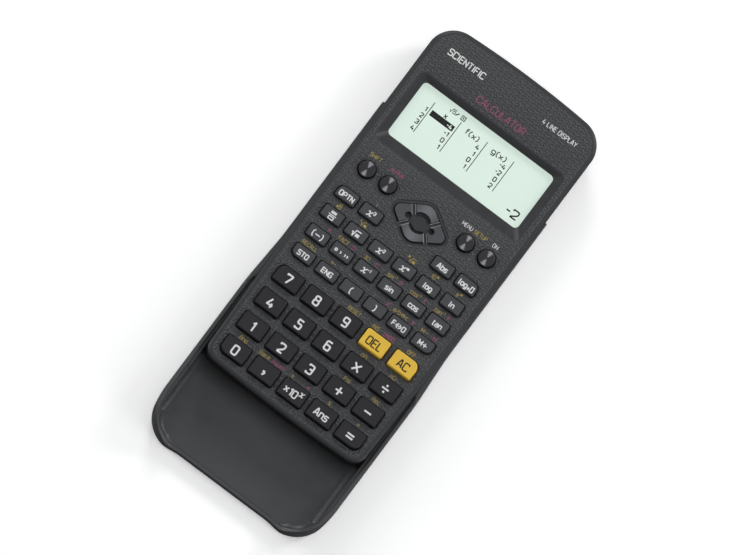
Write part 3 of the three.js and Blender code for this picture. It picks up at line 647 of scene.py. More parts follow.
def ribbon(build, path, width, closed, height, finish):
    """A thin solid ribbon along a flat path, resting on the surface that height(x, y) gives."""
    left, right = [], []
    count = len(path)
    for i, point in enumerate(path):
        last = path[i - 1] if closed or i else None
        following = path[(i + 1) % count] if closed or i < count - 1 else None
        into = (point - last).normalized() if last is not None else None
        out = (following - point).normalized() if following is not None else None
        into, out = into or out, out or into
        side = (Vector((-into.y, into.x)) + Vector((-out.y, out.x))).normalized()
        stretch = 1 / max(0.5, side.dot(Vector((-into.y, into.x))))
        left.append(point + side * (width / 2 * stretch))
        right.append(point - side * (width / 2 * stretch))
    points = []
    for a, b in zip(left, right):
        for p, lift in ((a, -INK_SUNK), (a, INK_LIFT), (b, INK_LIFT), (b, -INK_SUNK)):
            points.append((p.x, p.y, height(p.x, p.y) + lift))
    faces = []
    for i in range(count if closed else count - 1):
        j = (i + 1) % count
        for k in range(4):
            faces.append((4 * i + k, 4 * i + (k + 1) % 4, 4 * j + (k + 1) % 4, 4 * j + k))
    if not closed:
        faces += [(3, 2, 1, 0), (4 * count - 4, 4 * count - 3, 4 * count - 2, 4 * count - 1)]
    build.add(points, faces, finish)


def text_width(text, stroke_units):
    total, scale = 0.0, 1.0
    for letter in text:
        if letter in "{}":
            scale = RAISED_SCALE if letter == "{" else 1.0
            continue
        total += (GLYPHS[letter][0] + FAMILY_GAP) * scale
    return total - FAMILY_GAP + stroke_units


def write(build, text, x, y, cap, stroke, height, finish=1, slant=0.0, centred=True, stretch=1.0):
    """Letters as raised ink. "{" starts a raised small part and "}" ends it. "cap" is the height of a capital."""
    unit = (cap - stroke) / 6
    if centred:
        x -= text_width(text, 0) * unit * stretch / 2
    base = y - 3 * unit
    scale, raised = 1.0, 0.0
    for letter in text:
        if letter in "{}":
            scale, raised = (RAISED_SCALE, RAISED_BY * unit) if letter == "{" else (1.0, 0.0)
            continue
        width, strokes = GLYPHS[letter]
        lean = slant + (0.14 if letter in "~`" else 0.0)
        for part in filter(None, strokes.split("|")):
            own, round_by, closed = stroke * (scale * 0.5 + 0.5), 1.2, part.endswith(" o")
            if part.startswith("#"):
                weight, part = part[1:].split(" ", 1)
                own = float(weight) * unit * scale
            if part.startswith("!"):
                round_by, part = 0.05, part[1:]
            points = [Vector([float(v) for v in pair.split(",")]) for pair in part.replace(" o", "").split()]
            path = even_steps(rounded_path(points, round_by, closed), 1.2, closed)
            flat = [
                Vector((x + (p.x + p.y * lean) * unit * scale * stretch, base + raised + p.y * unit * scale))
                for p in path
            ]
            ribbon(build, flat, own, closed, height, finish)
        x += (width + FAMILY_GAP) * unit * scale * stretch


# ---------------------------------------------------------------- keys
FUNCTION_STYLE = {"corner": 0.8, "wide": 2.6, "edge": 0.4, "dish": 0.08, "cap": 2.4, "stroke": 0.45, "stretch": 0.95}
NUMBER_STYLE = {"corner": 0.85, "wide": 3.0, "edge": 0.5, "dish": 0.12, "cap": 4.4, "stroke": 0.72, "stretch": 0.88}
LEGEND_DROP = 0.4
RING_PARTS = 10
WIDE_CORNERS = {
    "key_option": "top_left", "key_log_base": "top_right", "key_store": "bottom_left", "key_memory_plus": "bottom_right",
    "key_7": "top_left", "key_all_clear": "top_right", "key_0": "bottom_left", "key_equals": "bottom_right",
}
FUNCTION_LEGENDS = {
    "key_option": "OPTN", "key_cube": "~{3", "key_absolute": "Abs", "key_log_base": "log[]",
    "key_fraction": "$", "key_square_root": "?", "key_square": "~{2", "key_power": "~{^", "key_log": "log", "key_ln": "ln",
    "key_negative": "(-)", "key_degrees": "@ ' ''", "key_reciprocal": "~{_1", "key_sin": "sin", "key_cos": "cos",
    "key_tan": "tan", "key_store": "STO", "key_eng": "ENG", "key_open_bracket": "(", "key_close_bracket": ")",
    "key_fraction_decimal": "F&D", "key_memory_plus": "M+",
}
BRACKET_CAPS = {"key_negative": 2.8, "key_open_bracket": 2.9, "key_close_bracket": 2.9}
NUMBER_LEGENDS = {
    **{f"key_{digit}": str(digit) for digit in range(10)},
    "key_delete": "DEL", "key_all_clear": "AC", "key_multiply": "X", "key_divide": "\\", "key_plus": "+",
    "key_minus": "-", "key_comma": ",", "key_exponent": "*10{~", "key_answer": "Ans", "key_equals": "=",
}
WORD_CAPS = {"key_delete": 3.7, "key_all_clear": 3.7, "key_answer": 3.4, "key_exponent": 3.4}


def key_cap(name, style, finishes, legend, cap, stroke):
    """One key: a softly dished cap with a rounded edge, on the flange that holds it in, with its legend."""
    low_x, low_y, low, high_x, high_y, top = cad_box(name)
    flange = 0.6
    width, length = high_x - low_x - 2 * flange, high_y - low_y - 2 * flange
    x, y = (low_x + high_x) / 2, (low_y + high_y) / 2
    plan = rectangle(width, length, style["corner"], WIDE_CORNERS.get(name), style["wide"], x, y, 6.0)
    half_x, half_y = width / 2, length / 2

    def height(px, py):
        across, along = min(1, abs(px - x) / half_x), min(1, abs(py - y) / half_y)
        return top - style["dish"] * (1 - across ** 2) * (1 - along ** 2)

    build = Builder()
    flange_top = low + 0.7
    build.stack(rectangle(width + 1.0, length + 1.0, 1.0, x=x, y=y), [(0.1, low), (0, low + 0.1), (0, flange_top)], 2)
    edge = style["edge"]
    rings = [[(px, py, z) for px, py in plan.ring(inset, RING_PARTS)] for inset, z in
             [(0, flange_top - 0.3), (0, FACE + 0.1)] + fillet(edge, 0.08, top - edge, 5)]
    inset = edge + 0.5
    while inset < min(half_x, half_y) - 0.1:
        rings.append([(px, py, height(px, py)) for px, py in plan.ring(inset, RING_PARTS)])
        inset += 0.6
    build.loft(rings, 0)
    write(build, legend, x, y - LEGEND_DROP, cap, stroke, height, stretch=style["stretch"])
    return build.object(name + "_cap", finishes)


def block_keys():
    for name, legend in FUNCTION_LEGENDS.items():
        style = FUNCTION_STYLE
        cap = BRACKET_CAPS.get(name, style["cap"])
        piece = key_cap(name, style, [FUNCTION_PLASTIC, WHITE_INK, KEY_SIDE], legend, cap, style["stroke"])
        placed(piece, name, "function_key", name)
    for name, legend in NUMBER_LEGENDS.items():
        style = NUMBER_STYLE
        yellow = name in ("key_delete", "key_all_clear")
        finishes = [YELLOW_PLASTIC, DARK_INK, KEY_SIDE] if yellow else [NUMBER_PLASTIC, WHITE_INK, KEY_SIDE]
        cap = WORD_CAPS.get(name, style["cap"])
        stroke = 0.52 if name in WORD_CAPS else style["stroke"]
        piece = key_cap(name, style, finishes, legend, cap, stroke)
        placed(piece, name, "yellow_key" if yellow else "number_key", name)


def round_keys():
    for name in ("key_shift", "key_alpha", "key_menu", "key_on"):
        low_x, low_y, low, high_x, high_y, top = cad_box(name)
        x, y = (low_x + high_x) / 2, (low_y + high_y) / 2
        radius = (high_x - low_x) / 2 - 0.6
        face = radius - 0.32
        build = Builder()
        collar = [(radius + 0.55, low), (radius + 0.55, low + 0.65), (radius, low + 0.7), (radius, top - 0.35)]
        build.lathe(collar + [(radius - 0.1, top - 0.12), (face, top - 0.1)], x, y, 64, 1)
        rings = [(face - 0.02, top - 0.3), (face - 0.02, top - 0.06), (face - 0.1, top)]
        dish = [(face * share, top - 0.06 * (1 - share ** 2)) for share in (0.8, 0.6, 0.4, 0.2, 0.03)]
        build.lathe(rings + dish, x, y, 64, 0)
        metal = turned_metal(name + "_metal", TURNED_DARK, TURNED_PAINTED_GLINT, x, y)
        placed(build.object(name + "_cap", [metal, KEY_SIDE], 40), name, "round_key", name)


# The cursor pad, measured from its centre: its rim, its fixed hub, the room that the keys leave round the hub,
# and the spokes between the keys
PAD = {"half_x": 16.1, "half_y": 10.75, "side_round": 3.9, "end_round": 6.4}
HUB = {"half_x": 6.1, "half_y": 3.3, "side_round": 1.7, "end_round": 2.2}
HUB_SPACE_RADIUS = 4.4
NOTCH_X = 5.5
NOTCH_RADIUS = 1.3
SPOKE_ANGLE = math.radians(52)
SPOKE_FOOT = 2.5
SPOKE_WIDTH = 1.5
# where the bright lines along the spokes run; they are painted highlights
SPOKE_HIGHLIGHT_LINE = {"start": 2.3, "end": 6.3, "width": 0.2}
PAD_RIM = 1.15
PAD_DEPTH = 0.75
PAD_LEDGE = 0.42


def pad_wedge(turn, clear, low, high):
    """The wedge between two spokes, facing "turn", as a throw-away object."""
    sideways = turn % 2 == 0
    half = SPOKE_ANGLE if sideways else math.pi / 2 - SPOKE_ANGLE
    middle = SPOKE_FOOT if sideways else -SPOKE_FOOT * math.tan(SPOKE_ANGLE)
    start, reach = middle + clear / math.sin(half), 30
    plan = [(start, 0), (start + reach * math.cos(half), -reach * math.sin(half)),
            (start + reach * math.cos(half), reach * math.sin(half))]
    angle = turn * math.pi / 2
    spun = [(x * math.cos(angle) - y * math.sin(angle), x * math.sin(angle) + y * math.cos(angle)) for x, y in plan]
    return Builder().loft([[(x, y + PAD_CENTRE_Y, z) for x, y in spun] for z in (low, high)]).object("wedge", [])


def cursor_keys():
    for turn, name in enumerate(("cursor_right", "cursor_up", "cursor_left", "cursor_down")):
        low, top = cad_box(name)[2], cad_box(name)[5]
        plan = rhombus(**PAD, inset=PAD_RIM + KEY_GAP + 0.15, y=PAD_CENTRE_Y)
        build = Builder().stack(plan, [(0, low + 0.2), (0, top)])
        piece = build.object(name + "_cap", [CURSOR_METAL])
        combine(piece, pad_wedge(turn, SPOKE_WIDTH / 2 + 0.15, 0, 30), "INTERSECT")
        for x, radius in ((0, HUB_SPACE_RADIUS), (NOTCH_X, NOTCH_RADIUS), (-NOTCH_X, NOTCH_RADIUS)):
            disc = Builder().lathe([(radius, low - 1), (radius, top + 1)], x, PAD_CENTRE_Y, 64)
            combine(piece, disc.object("disc", []))
        bevelled(piece, 0.25, 3, 40)
        smooth(piece, 40)
        placed(piece, name, "cursor_key", name)


def spoke_lines():
    """Two bright lines along each spoke of the cursor pad: painted highlights where the spokes' edges catch the light.
    """
    def height(x, y):
        return FACE - PAD_DEPTH

    build = Builder()
    along = Vector((math.cos(SPOKE_ANGLE), math.sin(SPOKE_ANGLE)))
    across = Vector((-along.y, along.x)) * (SPOKE_WIDTH / 2 - SPOKE_HIGHLIGHT_LINE["width"] / 2)
    for side in (1, -1):
        ends = [Vector((SPOKE_FOOT, 0)) + along * SPOKE_HIGHLIGHT_LINE[end] + across * side for end in ("start", "end")]
        for x, y in ((1, 1), (-1, 1), (-1, -1), (1, -1)):
            path = [Vector((x * point.x, PAD_CENTRE_Y + y * point.y)) for point in ends]
            ribbon(build, path if x * y > 0 else path[::-1], SPOKE_HIGHLIGHT_LINE["width"], False, height, 0)
    placed(build.object("cursor_pad_painted_highlights", [SPOKE_PAINTED_HIGHLIGHT]), BODY, "front_case")


# ---------------------------------------------------------------- the case
DISPLAY = {"x": 0, "y": 45.0, "width": 62.0, "length": 25.6}
RECESS_MOUTH = {"x": 0, "y": 43.95, "width": 68.2, "length": 32.3}


def key_hole(build, name, style):
    low_x, low_y, low, high_x, high_y, top = cad_box(name)
    width, length = high_x - low_x - 1.2 + 2 * KEY_GAP, high_y - low_y - 1.2 + 2 * KEY_GAP
    x, y = (low_x + high_x) / 2, (low_y + high_y) / 2
    plan = rectangle(width, length, style["corner"] + 0.1, WIDE_CORNERS.get(name), style["wide"], x, y, 6.0)
    build.stack(plan, [(0, WALL_UNDER - 0.5)] + hole_edge(0.28))


def hole_edge(radius):
    """(inset, z) levels that round the rim of an opening cut down through the face."""
    levels = []
    for i in range(5):
        turn = math.pi / 2 * i / 4
        levels.append((-radius * (1 - math.cos(turn)), FACE - radius + radius * math.sin(turn)))
    return levels + [(-radius - 0.02, FACE + 1)]


def front_holes():
    """Every opening of the keys, as one throw-away object of separate solids."""
    build = Builder()
    for name in FUNCTION_LEGENDS:
        key_hole(build, name, FUNCTION_STYLE)
    for name in NUMBER_LEGENDS:
        key_hole(build, name, NUMBER_STYLE)
    for name in ("key_shift", "key_alpha", "key_menu", "key_on"):
        low_x, low_y, low, high_x, high_y, top = cad_box(name)
        radius = (high_x - low_x) / 2 - 0.6 + KEY_GAP
        profile = [(radius - inset, z) for inset, z in [(0, WALL_UNDER - 0.5)] + hole_edge(0.28)]
        build.lathe(profile, (low_x + high_x) / 2, (low_y + high_y) / 2, 64)
    return build.object("holes", [EDGE_PAINTED_SHADE])


def pad_recess():
    """The shallow dish of the cursor pad, whose floor is the top of the hub and the spokes."""
    plan = rhombus(**PAD, y=PAD_CENTRE_Y)
    levels = [(PAD_RIM, FACE - PAD_DEPTH), (PAD_RIM - 0.02, FACE - PAD_LEDGE), (0.3, FACE - PAD_LEDGE + 0.14),
              (0.1, FACE - 0.1), (-0.05, FACE), (-0.1, FACE + 1)]
    return Builder().stack(plan, levels).object("pad_recess", [EDGE_PAINTED_SHADE])


def pad_hole(turn):
    plan = rhombus(**PAD, inset=PAD_RIM + 0.05, y=PAD_CENTRE_Y)
    block = Builder().stack(plan, [(0, WALL_UNDER - 0.5), (0, FACE + 1)]).object("pad_hole", [EDGE_PAINTED_SHADE])
    combine(block, Builder().stack(rhombus(**HUB, y=PAD_CENTRE_Y), [(0, 0), (0, 30)]).object("hub", []))
    return combine(block, pad_wedge(turn, SPOKE_WIDTH / 2, 0, 30), "INTERSECT")


def display_recess():
    """The funnel down to the window, with a short upright wall at its foot."""
    foot = rectangle(DISPLAY["width"], DISPLAY["length"], 1.9, x=0, y=DISPLAY["y"], detail=5)
    mouth = rectangle(RECESS_MOUTH["width"], RECESS_MOUTH["length"], 2.2, x=0, y=RECESS_MOUTH["y"], detail=5)
    soft = rectangle(RECESS_MOUTH["width"] + 0.7, RECESS_MOUTH["length"] + 0.7, 2.55, x=0, y=RECESS_MOUTH["y"], detail=5)
    # equal point counts let the three plans be lofted into one funnel
    counts = {len(plan.ring()) for plan in (foot, mouth, soft)}
    steps = max(counts)
    rings = []
    for plan, z in ((foot, WALL_UNDER - 1), (foot, FACE - 1.7), (mouth, FACE - 0.12), (soft, FACE), (soft, FACE + 1)):
        rings.append([(x, y, z) for x, y in resampled(plan, steps)])
    return Builder().loft(rings).object("display_recess", [RECESS])


def resampled(plan, count):
    """The plan drawn with the same number of steps at each corner, "count" points in all."""
    steps = count // len(plan.corners) - 1
    plan.corners = [corner[:6] + (steps,) + corner[7:] for corner in plan.corners]
    return plan.ring()


def front_case():
    plan = body_outline(6.0)
    levels = [(0.25, SPLIT), (0, SPLIT + 0.25)]
    for i in range(9):
        turn = math.pi / 2 * i / 8
        levels.append((SMOOTH_EDGE * (1 - math.cos(turn)), FACE - 1.25 + 1.25 * math.sin(turn)))
    case = Builder().stack(plan, levels).object("front_case_shell", [EDGE_PAINTED_SHADE, GRAIN_WITH_PAINTED_SHADING, RECESS, ROUNDING])
    hollow = Builder().stack(plan, [(1.6, SPLIT - 1), (1.6, WALL_UNDER)]).object("hollow", [EDGE_PAINTED_SHADE])
    combine(case, hollow)
    combine(case, front_holes())
    combine(case, display_recess())
    combine(case, pad_recess())
    for turn in range(4):
        combine(case, pad_hole(turn))
    paint_face(case)
    smooth(case, 28)
    placed(case, BODY, "front_case", "front_case")


def paint_face(case):
    """The flat face has the leather grain, and its edges and openings stay smooth. Steep edges and the walls of the
    openings get the darker edge plastic, which is painted shade.
    """
    slots = {material.name: i for i, material in enumerate(case.data.materials)}
    funnel_half_x = RECESS_MOUTH["width"] / 2 + 0.3
    for polygon in case.data.polygons:
        x, y, z = (value / MM for value in polygon.center)
        flat = polygon.normal.z > 0.999 and z > FACE - 0.01
        if flat:
            polygon.material_index = slots[GRAIN_WITH_PAINTED_SHADING.name]
        elif abs(x) < funnel_half_x and abs(y - RECESS_MOUTH["y"]) < RECESS_MOUTH["length"] / 2 + 0.3 and z > WALL_UNDER:
            polygon.material_index = slots[RECESS.name]
        elif polygon.normal.z > 0.9 and abs(z - FACE + PAD_LEDGE - 0.07) < 0.08 and abs(y - PAD_CENTRE_Y) < PAD["half_y"]:
            polygon.material_index = slots[RECESS.name]
        elif polygon.normal.z > 0.3 and z > FACE - 1.2:
            polygon.material_index = slots[ROUNDING.name]
        else:
            polygon.material_index = slots[EDGE_PAINTED_SHADE.name]


def screw_places():
    """Where the six case screws sit, in the recesses of the rear case."""
    return [(-30, 54), (30, 54), (-31, -8), (31, -8), (-28, -73), (28, -73)]


def rear_case():
    plan = body_outline(5.0)
    lower = 3.6
    foot = [(REAR_INSET + inset, z) for inset, z in fillet(lower, 0, UNDERSIDE, 7, rising=False)]
    levels = foot + [(REAR_INSET, SHOULDER - 0.2), (REAR_INSET + 0.2, SHOULDER), (NECK_INSET, SHOULDER), (NECK_INSET, REAR[5])]
    case = Builder().stack(plan, levels).object("rear_case_shell", [REAR_PLASTIC])
    inside = NECK_INSET + 1.5
    combine(case, Builder().stack(plan, [(inside, UNDERSIDE + 1.5), (inside, REAR[5] + 1)]).object("hollow", []))
    bay = Builder().box(-27, 27, 57, 79, UNDERSIDE + 0.5, 6).object("bay", [REAR_PLASTIC])
    combine(case, bay, "UNION")
    low_x, low_y, low, high_x, high_y, high = cad_box("battery_cover")
    cover_plan = rectangle(high_x - low_x + 0.4, high_y - low_y + 0.4, 2, y=(low_y + high_y) / 2)
    edge = [(-0.3, low - 1), (-0.25, low), (-0.08, low + 0.1), (0, low + 0.3), (0, high + 0.1)]
    combine(case, Builder().stack(cover_plan, edge).object("seat", []))
    combine(case, Builder().box(-23.5, 23.5, 65.3, 76.7, UNDERSIDE, 7).object("pocket", []))
    wells = Builder()
    for x, y in screw_places():
        wells.lathe([(2.35, UNDERSIDE - 1), (2.3, UNDERSIDE + 0.05), (2.15, UNDERSIDE + 0.2), (2.15, UNDERSIDE + 1)], x, y, 40)
    combine(case, wells.object("wells", []))
    smooth(case, 30)
    placed(case, BODY, "rear_case", "rear_case")


def battery_cover():
    """The cover over the cell, with finger ridges and a counterbore for its screw."""
    low_x, low_y, low, high_x, high_y, high = cad_box("battery_cover")
    y = (low_y + high_y) / 2
    plan = rectangle(high_x - low_x, high_y - low_y, 2, y=y)
    levels = [(0.45, low), (0.15, low + 0.08), (0, low + 0.35), (0, high)]
    cover = Builder().stack(plan, levels).object("battery_cover_plate", [REAR_PLASTIC])
    grip = Builder()
    for i in range(9):
        at = -8 + 2 * i
        grip.stack(rectangle(0.8, 7, 0.39, x=at, y=high_y - 6), [(0, low - 1), (0, low + 0.02), (0.28, low + 0.35)])
    combine(cover, grip.object("grip", []))
    x, screw_y, radius = 0, (cad_box("battery_cover_screw")[1] + cad_box("battery_cover_screw")[4]) / 2, 2.3
    well = Builder().lathe([(radius + 0.3, low - 1), (radius + 0.3, low), (radius, low + 0.25), (radius, low + 0.75)], x, screw_y, 40)
    combine(cover, well.object("well", []))
    combine(cover, Builder().lathe([(1.1, low), (1.1, high + 1)], x, screw_y, 24).object("bore", []))
    smooth(cover, 30)
    placed(cover, BODY, "rear_case", "battery_cover")


def screw(name, x, y, bottom, tip, slot_nodes=()):
    """A small cross-head screw, head down."""
    radius = 1.95
    head = [(0.4, bottom + 0.02), (1.2, bottom), (radius - 0.25, bottom + 0.06), (radius, bottom + 0.3), (radius, bottom + 0.6)]
    shank = [(0.8, bottom + 0.62)]
    threads = int((tip - bottom - 1.2) / 0.35)
    for i in range(threads):
        z = bottom + 0.75 + 0.35 * i
        shank += [(0.8, z), (0.68, z + 0.17)]
    piece = Builder().lathe(head + shank + [(0.3, tip)], x, y, 40).object(name, [SCREW_STEEL])
    cross = Builder()
    cross.loft([
        [(x + a * k, y + b * k, z) for a, b in
         [(1.15, -0.17), (1.15, 0.17), (0.17, 0.17), (0.17, 1.15), (-0.17, 1.15), (-0.17, 0.17), (-1.15, 0.17),
          (-1.15, -0.17), (-0.17, -0.17), (-0.17, -1.15), (0.17, -1.15), (0.17, -0.17)]]
        for k, z in ((1.0, bottom - 0.5), (0.98, bottom), (0.55, bottom + 0.45))
    ])
    combine(piece, cross.object("cross", []))
    smooth(piece, 35)
    return placed(piece, BODY, "screw", *slot_nodes)


def screws():
    low_x, low_y, low, high_x, high_y, high = cad_box("battery_cover_screw")
    screw("battery_cover_screw_turned", 0, (low_y + high_y) / 2, low, high, ("battery_cover_screw",))
    for i, (x, y) in enumerate(screw_places()):
        screw(f"case_screw_{i + 1}", x, y, UNDERSIDE + 0.3, UNDERSIDE + 5)


# ---------------------------------------------------------------- slide cover
FLOOR = 1.5
COVER_LOBE = 0.85
COVER_END = COVER[1] + COVER_LOBE - 0.06
INNER = 37.6
RIB_INNER = 36.3
RAIL_TOP = 9.3
RIM_TOP = COVER[5]
LIP_TOP = 4.2
STEP_Z = 9.6


def cover_outline():
    """The end stands out a little beside the middle, for a thumb, and the sides flare out round the keyboard."""
    end, half, low_half = COVER_END, COVER[3] - 1.3, COVER[3]
    right = [
        (21.3, end, 6), (28.2, end - COVER_LOBE, 8.4), (38.4, end + 3, 14), (low_half, end + 15.8, 50),
        (low_half, -46, 120), (half, -24, 120), (half, COVER[4], 3),
    ]
    return Outline(right + mirrored(right), 5.0)


def between(value, low, high):
    """0 below low, 1 above high, smooth between."""
    t = max(0.0, min(1.0, (value - low) / (high - low)))
    return t * t * (3 - 2 * t)


def subdivided(points, longest):
    fine = []
    for i, (x, y) in enumerate(points):
        nx, ny = points[(i + 1) % len(points)]
        parts = max(1, math.ceil(math.hypot(nx - x, ny - y) / longest))
        fine += [(x + (nx - x) * k / parts, y + (ny - y) * k / parts) for k in range(parts)]
    return fine


def cover_profile(x, y, across):
    """(inward distance, height) points of the wall at plan point (x, y), from under the floor, over the rim, to the floor.
    "across" is how far the inward normal points across the cover, from 0 to 1. The low corners are thinned, so
    that the calculator's sharper corners fit in."""
    sideways = across ** 2
    half = abs(x) if sideways > 0.9 or y > 0 else COVER[3]
    low_part = between(-y, 44, 49)
    open_end = y > COVER[4] - 3.2 and across < 0.92
    at_end = between(-y, 98, 108)
    height = RAIL_TOP + (RIM_TOP - RAIL_TOP) * low_part
    slope = LIP_TOP + (RIM_TOP - LIP_TOP) * between(abs(x), 23.5, 39.5)
    height += (slope - height) * at_end
    corner = 4 * sideways * (1 - sideways) * at_end
    wall = (half - INNER) * sideways + 1.9 * (1 - sideways) - 0.8 * corner
    rim = max(0.84, 1.75 * sideways + 1.2 * (1 - sideways) - 0.75 * corner)
    rib = half - RIB_INNER
    inner_rim = rib + (rim - rib) * between(-y, 41, 44.5)
    if y > COVER[4] - 3.4:
        inner_rim = wall
    step = 8.3 + (STEP_Z - 8.3) * low_part
    if at_end > 0:
        step = min(step, height - 1.2)
    round_by = min(4.0, step - FLOOR - 0.3)
    if open_end:
        height, step, wall, inner_rim, round_by = FLOOR, FLOOR - 0.05, 0.9, 0.8, 0.02
    lower = 1.7 if not open_end else 0.5
    profile = [(8.5, 0), (lower + 0.6, 0)]
    for i in range(6):
        turn = math.pi / 2 * i / 5
        profile.append((lower * (1 - math.sin(turn)), lower * (1 - math.cos(turn))))
    crown = min(0.45, (height - lower) * 0.4)
    profile += [(0, height - crown), (0.13, height - crown * 0.3), (0.42, height)]
    profile += [(inner_rim - 0.38, height), (inner_rim - 0.12, height - crown * 0.3), (inner_rim, height - crown)]
    profile += [(inner_rim, step + 0.2), (inner_rim + 0.08 * low_part, step), (wall - 0.1 * low_part, step - 0.02), (wall, step - 0.2)]
    for i in range(9):
        turn = math.pi / 2 * i / 8
        profile.append((wall + round_by * (1 - math.cos(turn)), FLOOR + round_by * (1 - math.sin(turn))))
    profile.append((wall + round_by + 1.6, FLOOR))
    return profile


def slide_cover():
    plan = subdivided(cover_outline().ring(), 1.6)
    count = len(plan)
    rings = None
    for i, (x, y) in enumerate(plan):
        (ax, ay), (bx, by) = plan[i - 1], plan[(i + 1) % count]
        length = math.hypot(bx - ax, by - ay)
        nx, ny = -(by - ay) / length, (bx - ax) / length
        profile = cover_profile(x, y, abs(nx))
        rings = rings or [[] for _ in profile]
        for ring, (inward, z) in zip(rings, profile):
            ring.append((x + nx * inward, y + ny * inward, z))
    cover = Builder().loft(rings).object("slide_cover_tray", [COVER_PLASTIC], 32)
    placed(cover, "slide_cover", "cover", "slide_cover")


# ---------------------------------------------------------------- display
LCD_TOP = cad_box("lcd_panel")[5]


def lcd():
    """The panel: two glass plates, with the segments of a table of values on the upper one."""
    low_x, low_y, low, high_x, high_y, top = cad_box("lcd_panel")
    build = Builder()
    build.stack(rectangle(high_x - low_x, high_y - low_y, 0.3, y=(low_y + high_y) / 2), [(0.1, low), (0, low + 0.1), (0, low + 1.1)])
    upper_low = low_y + 2
    upper = rectangle(high_x - low_x, high_y - upper_low, 0.3, y=(upper_low + high_y) / 2)
    build.stack(upper, [(0, low + 1.1), (0, top - 0.1), (0.1, top)])

    def height(x, y):
        return top

    for x in (-23.0, -10.4, 2.2, 14.8):
        ribbon(build, [Vector((x, 53.6)), Vector((x, 39.1))], 0.3, False, height, 1)
    rows = (49.45, 46.45, 43.4, 40.35)
    cap, stroke = 2.1, 0.38
    for row, y in enumerate(rows):
        write(build, str(row + 1), -24.3, y, cap, stroke, height, stretch=0.95)
    for x, values in ((-11.5, ("", "_1", "0", "1")), (1.0, ("4", "1", "0", "1")), (13.6, ("_4", "_2", "0", "2"))):
        for y, value in zip(rows, values):
            if value:
                width = text_width(value, 0) * (cap - stroke) / 6
                write(build, value, x - stroke / 2 - width, y, cap, stroke, height, centred=False)
    write(build, "x", -16.6, 51.9, 2.3, stroke, height, stretch=1.1)
    write(build, "f(x)", -4.1, 52.0, 2.4, stroke, height, stretch=1.25)
    write(build, "g(x)", 8.7, 52.0, 2.4, stroke, height, stretch=1.25)
    ribbon(build, [Vector((-22.1, 49.45)), Vector((-11.3, 49.45))], 2.45, False, height, 1)
    write(build, "_2", 25.9, 36.9, 3.9, 0.6, height, stretch=1.15)
    status_icons(build, height)
    piece = build.object("lcd_glass", [MINT_PAINTED_GLOW, SEGMENT])
    placed(piece, BODY, "lcd", "lcd_panel")
    light = Builder()
    write(light, "_4", -13.2, 49.45, 1.9, 0.34, lambda x, y: top + INK_LIFT + 0.01, 0)
    placed(light.object("lcd_highlight_digits", [MINT_PAINTED_GLOW]), BODY, "lcd")


def status_icons(build, height):
    """A root sign with a slash, and an arrow in a box."""
    x, y = -16.8, 54.3
    for path, width in (
        ([(0, 0.9), (0.5, 0), (1.1, 1.8), (2.6, 1.8)], 0.28),
        ([(1.5, 0.1), (2.4, 0.1), (2.4, 1.2), (1.5, 1.2), (1.5, 0.1)], 0.26),
        ([(2.8, 0.1), (3.9, 1.5)], 0.45),
        ([(5.3, 0.1), (7.0, 0.1), (7.0, 1.8), (5.3, 1.8), (5.3, 0.0)], 0.34),
        ([(6.15, 0.5), (6.15, 1.4)], 0.4),
        ([(5.75, 1.05), (6.55, 1.05)], 0.26),
    ):
        ribbon(build, [Vector((x + px, y + py)) for px, py in path], width, False, height, 1)


# ---------------------------------------------------------------- lettering on the face
# (text, x, y) of each small label above a key, by ink
SHIFT_LABELS = [
    ("SHIFT", -28.6, 21.4), ("SETUP", 21.6, 21.4), ("RECALL", -28.6, -22.4), ("<", -17.2, -22.4), ("FACT", -19.3, -12.7),
    ("~!", -8.2, -12.7), ("sin{_1", 3.7, -12.7), ("cos{_1", 15.0, -12.7), ("tan{_1", 26.4, -12.7), (";", 2.6, -22.4),
    ("a/b&c", 15.0, -22.4), ("M-", 26.4, -22.4), ("[u", -28.6, -2.8), ("{3}?", -17.2, -2.8), ("{^}?", 5.9, -2.8),
    ("10{^", 17.0, -2.8), ("e{^", 28.6, -2.8), ("RESET", 0.2, -32.6), ("INS", 10.4, -32.6), ("OFF", 27.4, -32.6),
    ("nPr", 13.7, -44.4), ("nCr", 27.4, -44.4), ("Pol", 13.7, -56.0), ("Rec", 27.4, -56.0), ("Rnd", -27.4, -67.8),
    ("Ran#", -17.2, -67.8), ("p", -3.8, -67.8), ("%", 13.7, -67.8), ("w", 27.4, -67.8),
]
ALPHA_LABELS = [
    ("ALPHA", -18.5, 21.4), ("A", -26.0, -12.7), ("B", -14.6, -12.7), ("C", -3.4, -12.7), ("D", 7.9, -12.7),
    ("E", 19.6, -12.7), ("F", 30.9, -12.7), ("~", 8.7, -22.4), ("`", 20.6, -22.4), ("M", 31.2, -22.4),
    ("UNDO", 16.7, -32.6), ("RanInt", -10.6, -67.8), ("e", 3.7, -67.8),
]
WHITE_LABELS = [("MENU", 15.3, 21.4), ("ON", 28.6, 21.4), (":", -17.2, 6.6)]


def face_print():
    def height(x, y):
        return FACE

    for name, ink, labels in (("shift_labels", SHIFT_INK, SHIFT_LABELS), ("alpha_labels", ALPHA_INK, ALPHA_LABELS),
                              ("white_labels", WHITE_INK, WHITE_LABELS)):
        build = Builder()
        for text, x, y in labels:
            write(build, text, x, y, 1.75, 0.2, height, 0, stretch=0.86 if len(text) > 3 and text.isalpha() else 0.93)
        if name == "white_labels":
            write(build, "SCIENTIFIC", -22.1, 72.6, 3.0, 0.44, height, 0, stretch=0.9)
            write(build, "4 LINE DISPLAY", 22.2, 72.7, 2.1, 0.26, height, 0, stretch=0.82)
        if name == "alpha_labels":
            write(build, "CALCULATOR", 0, 64.4, 3.0, 0.26, height, 0, slant=0.1, stretch=0.92)
        placed(build.object(name, [ink]), BODY, "front_case")


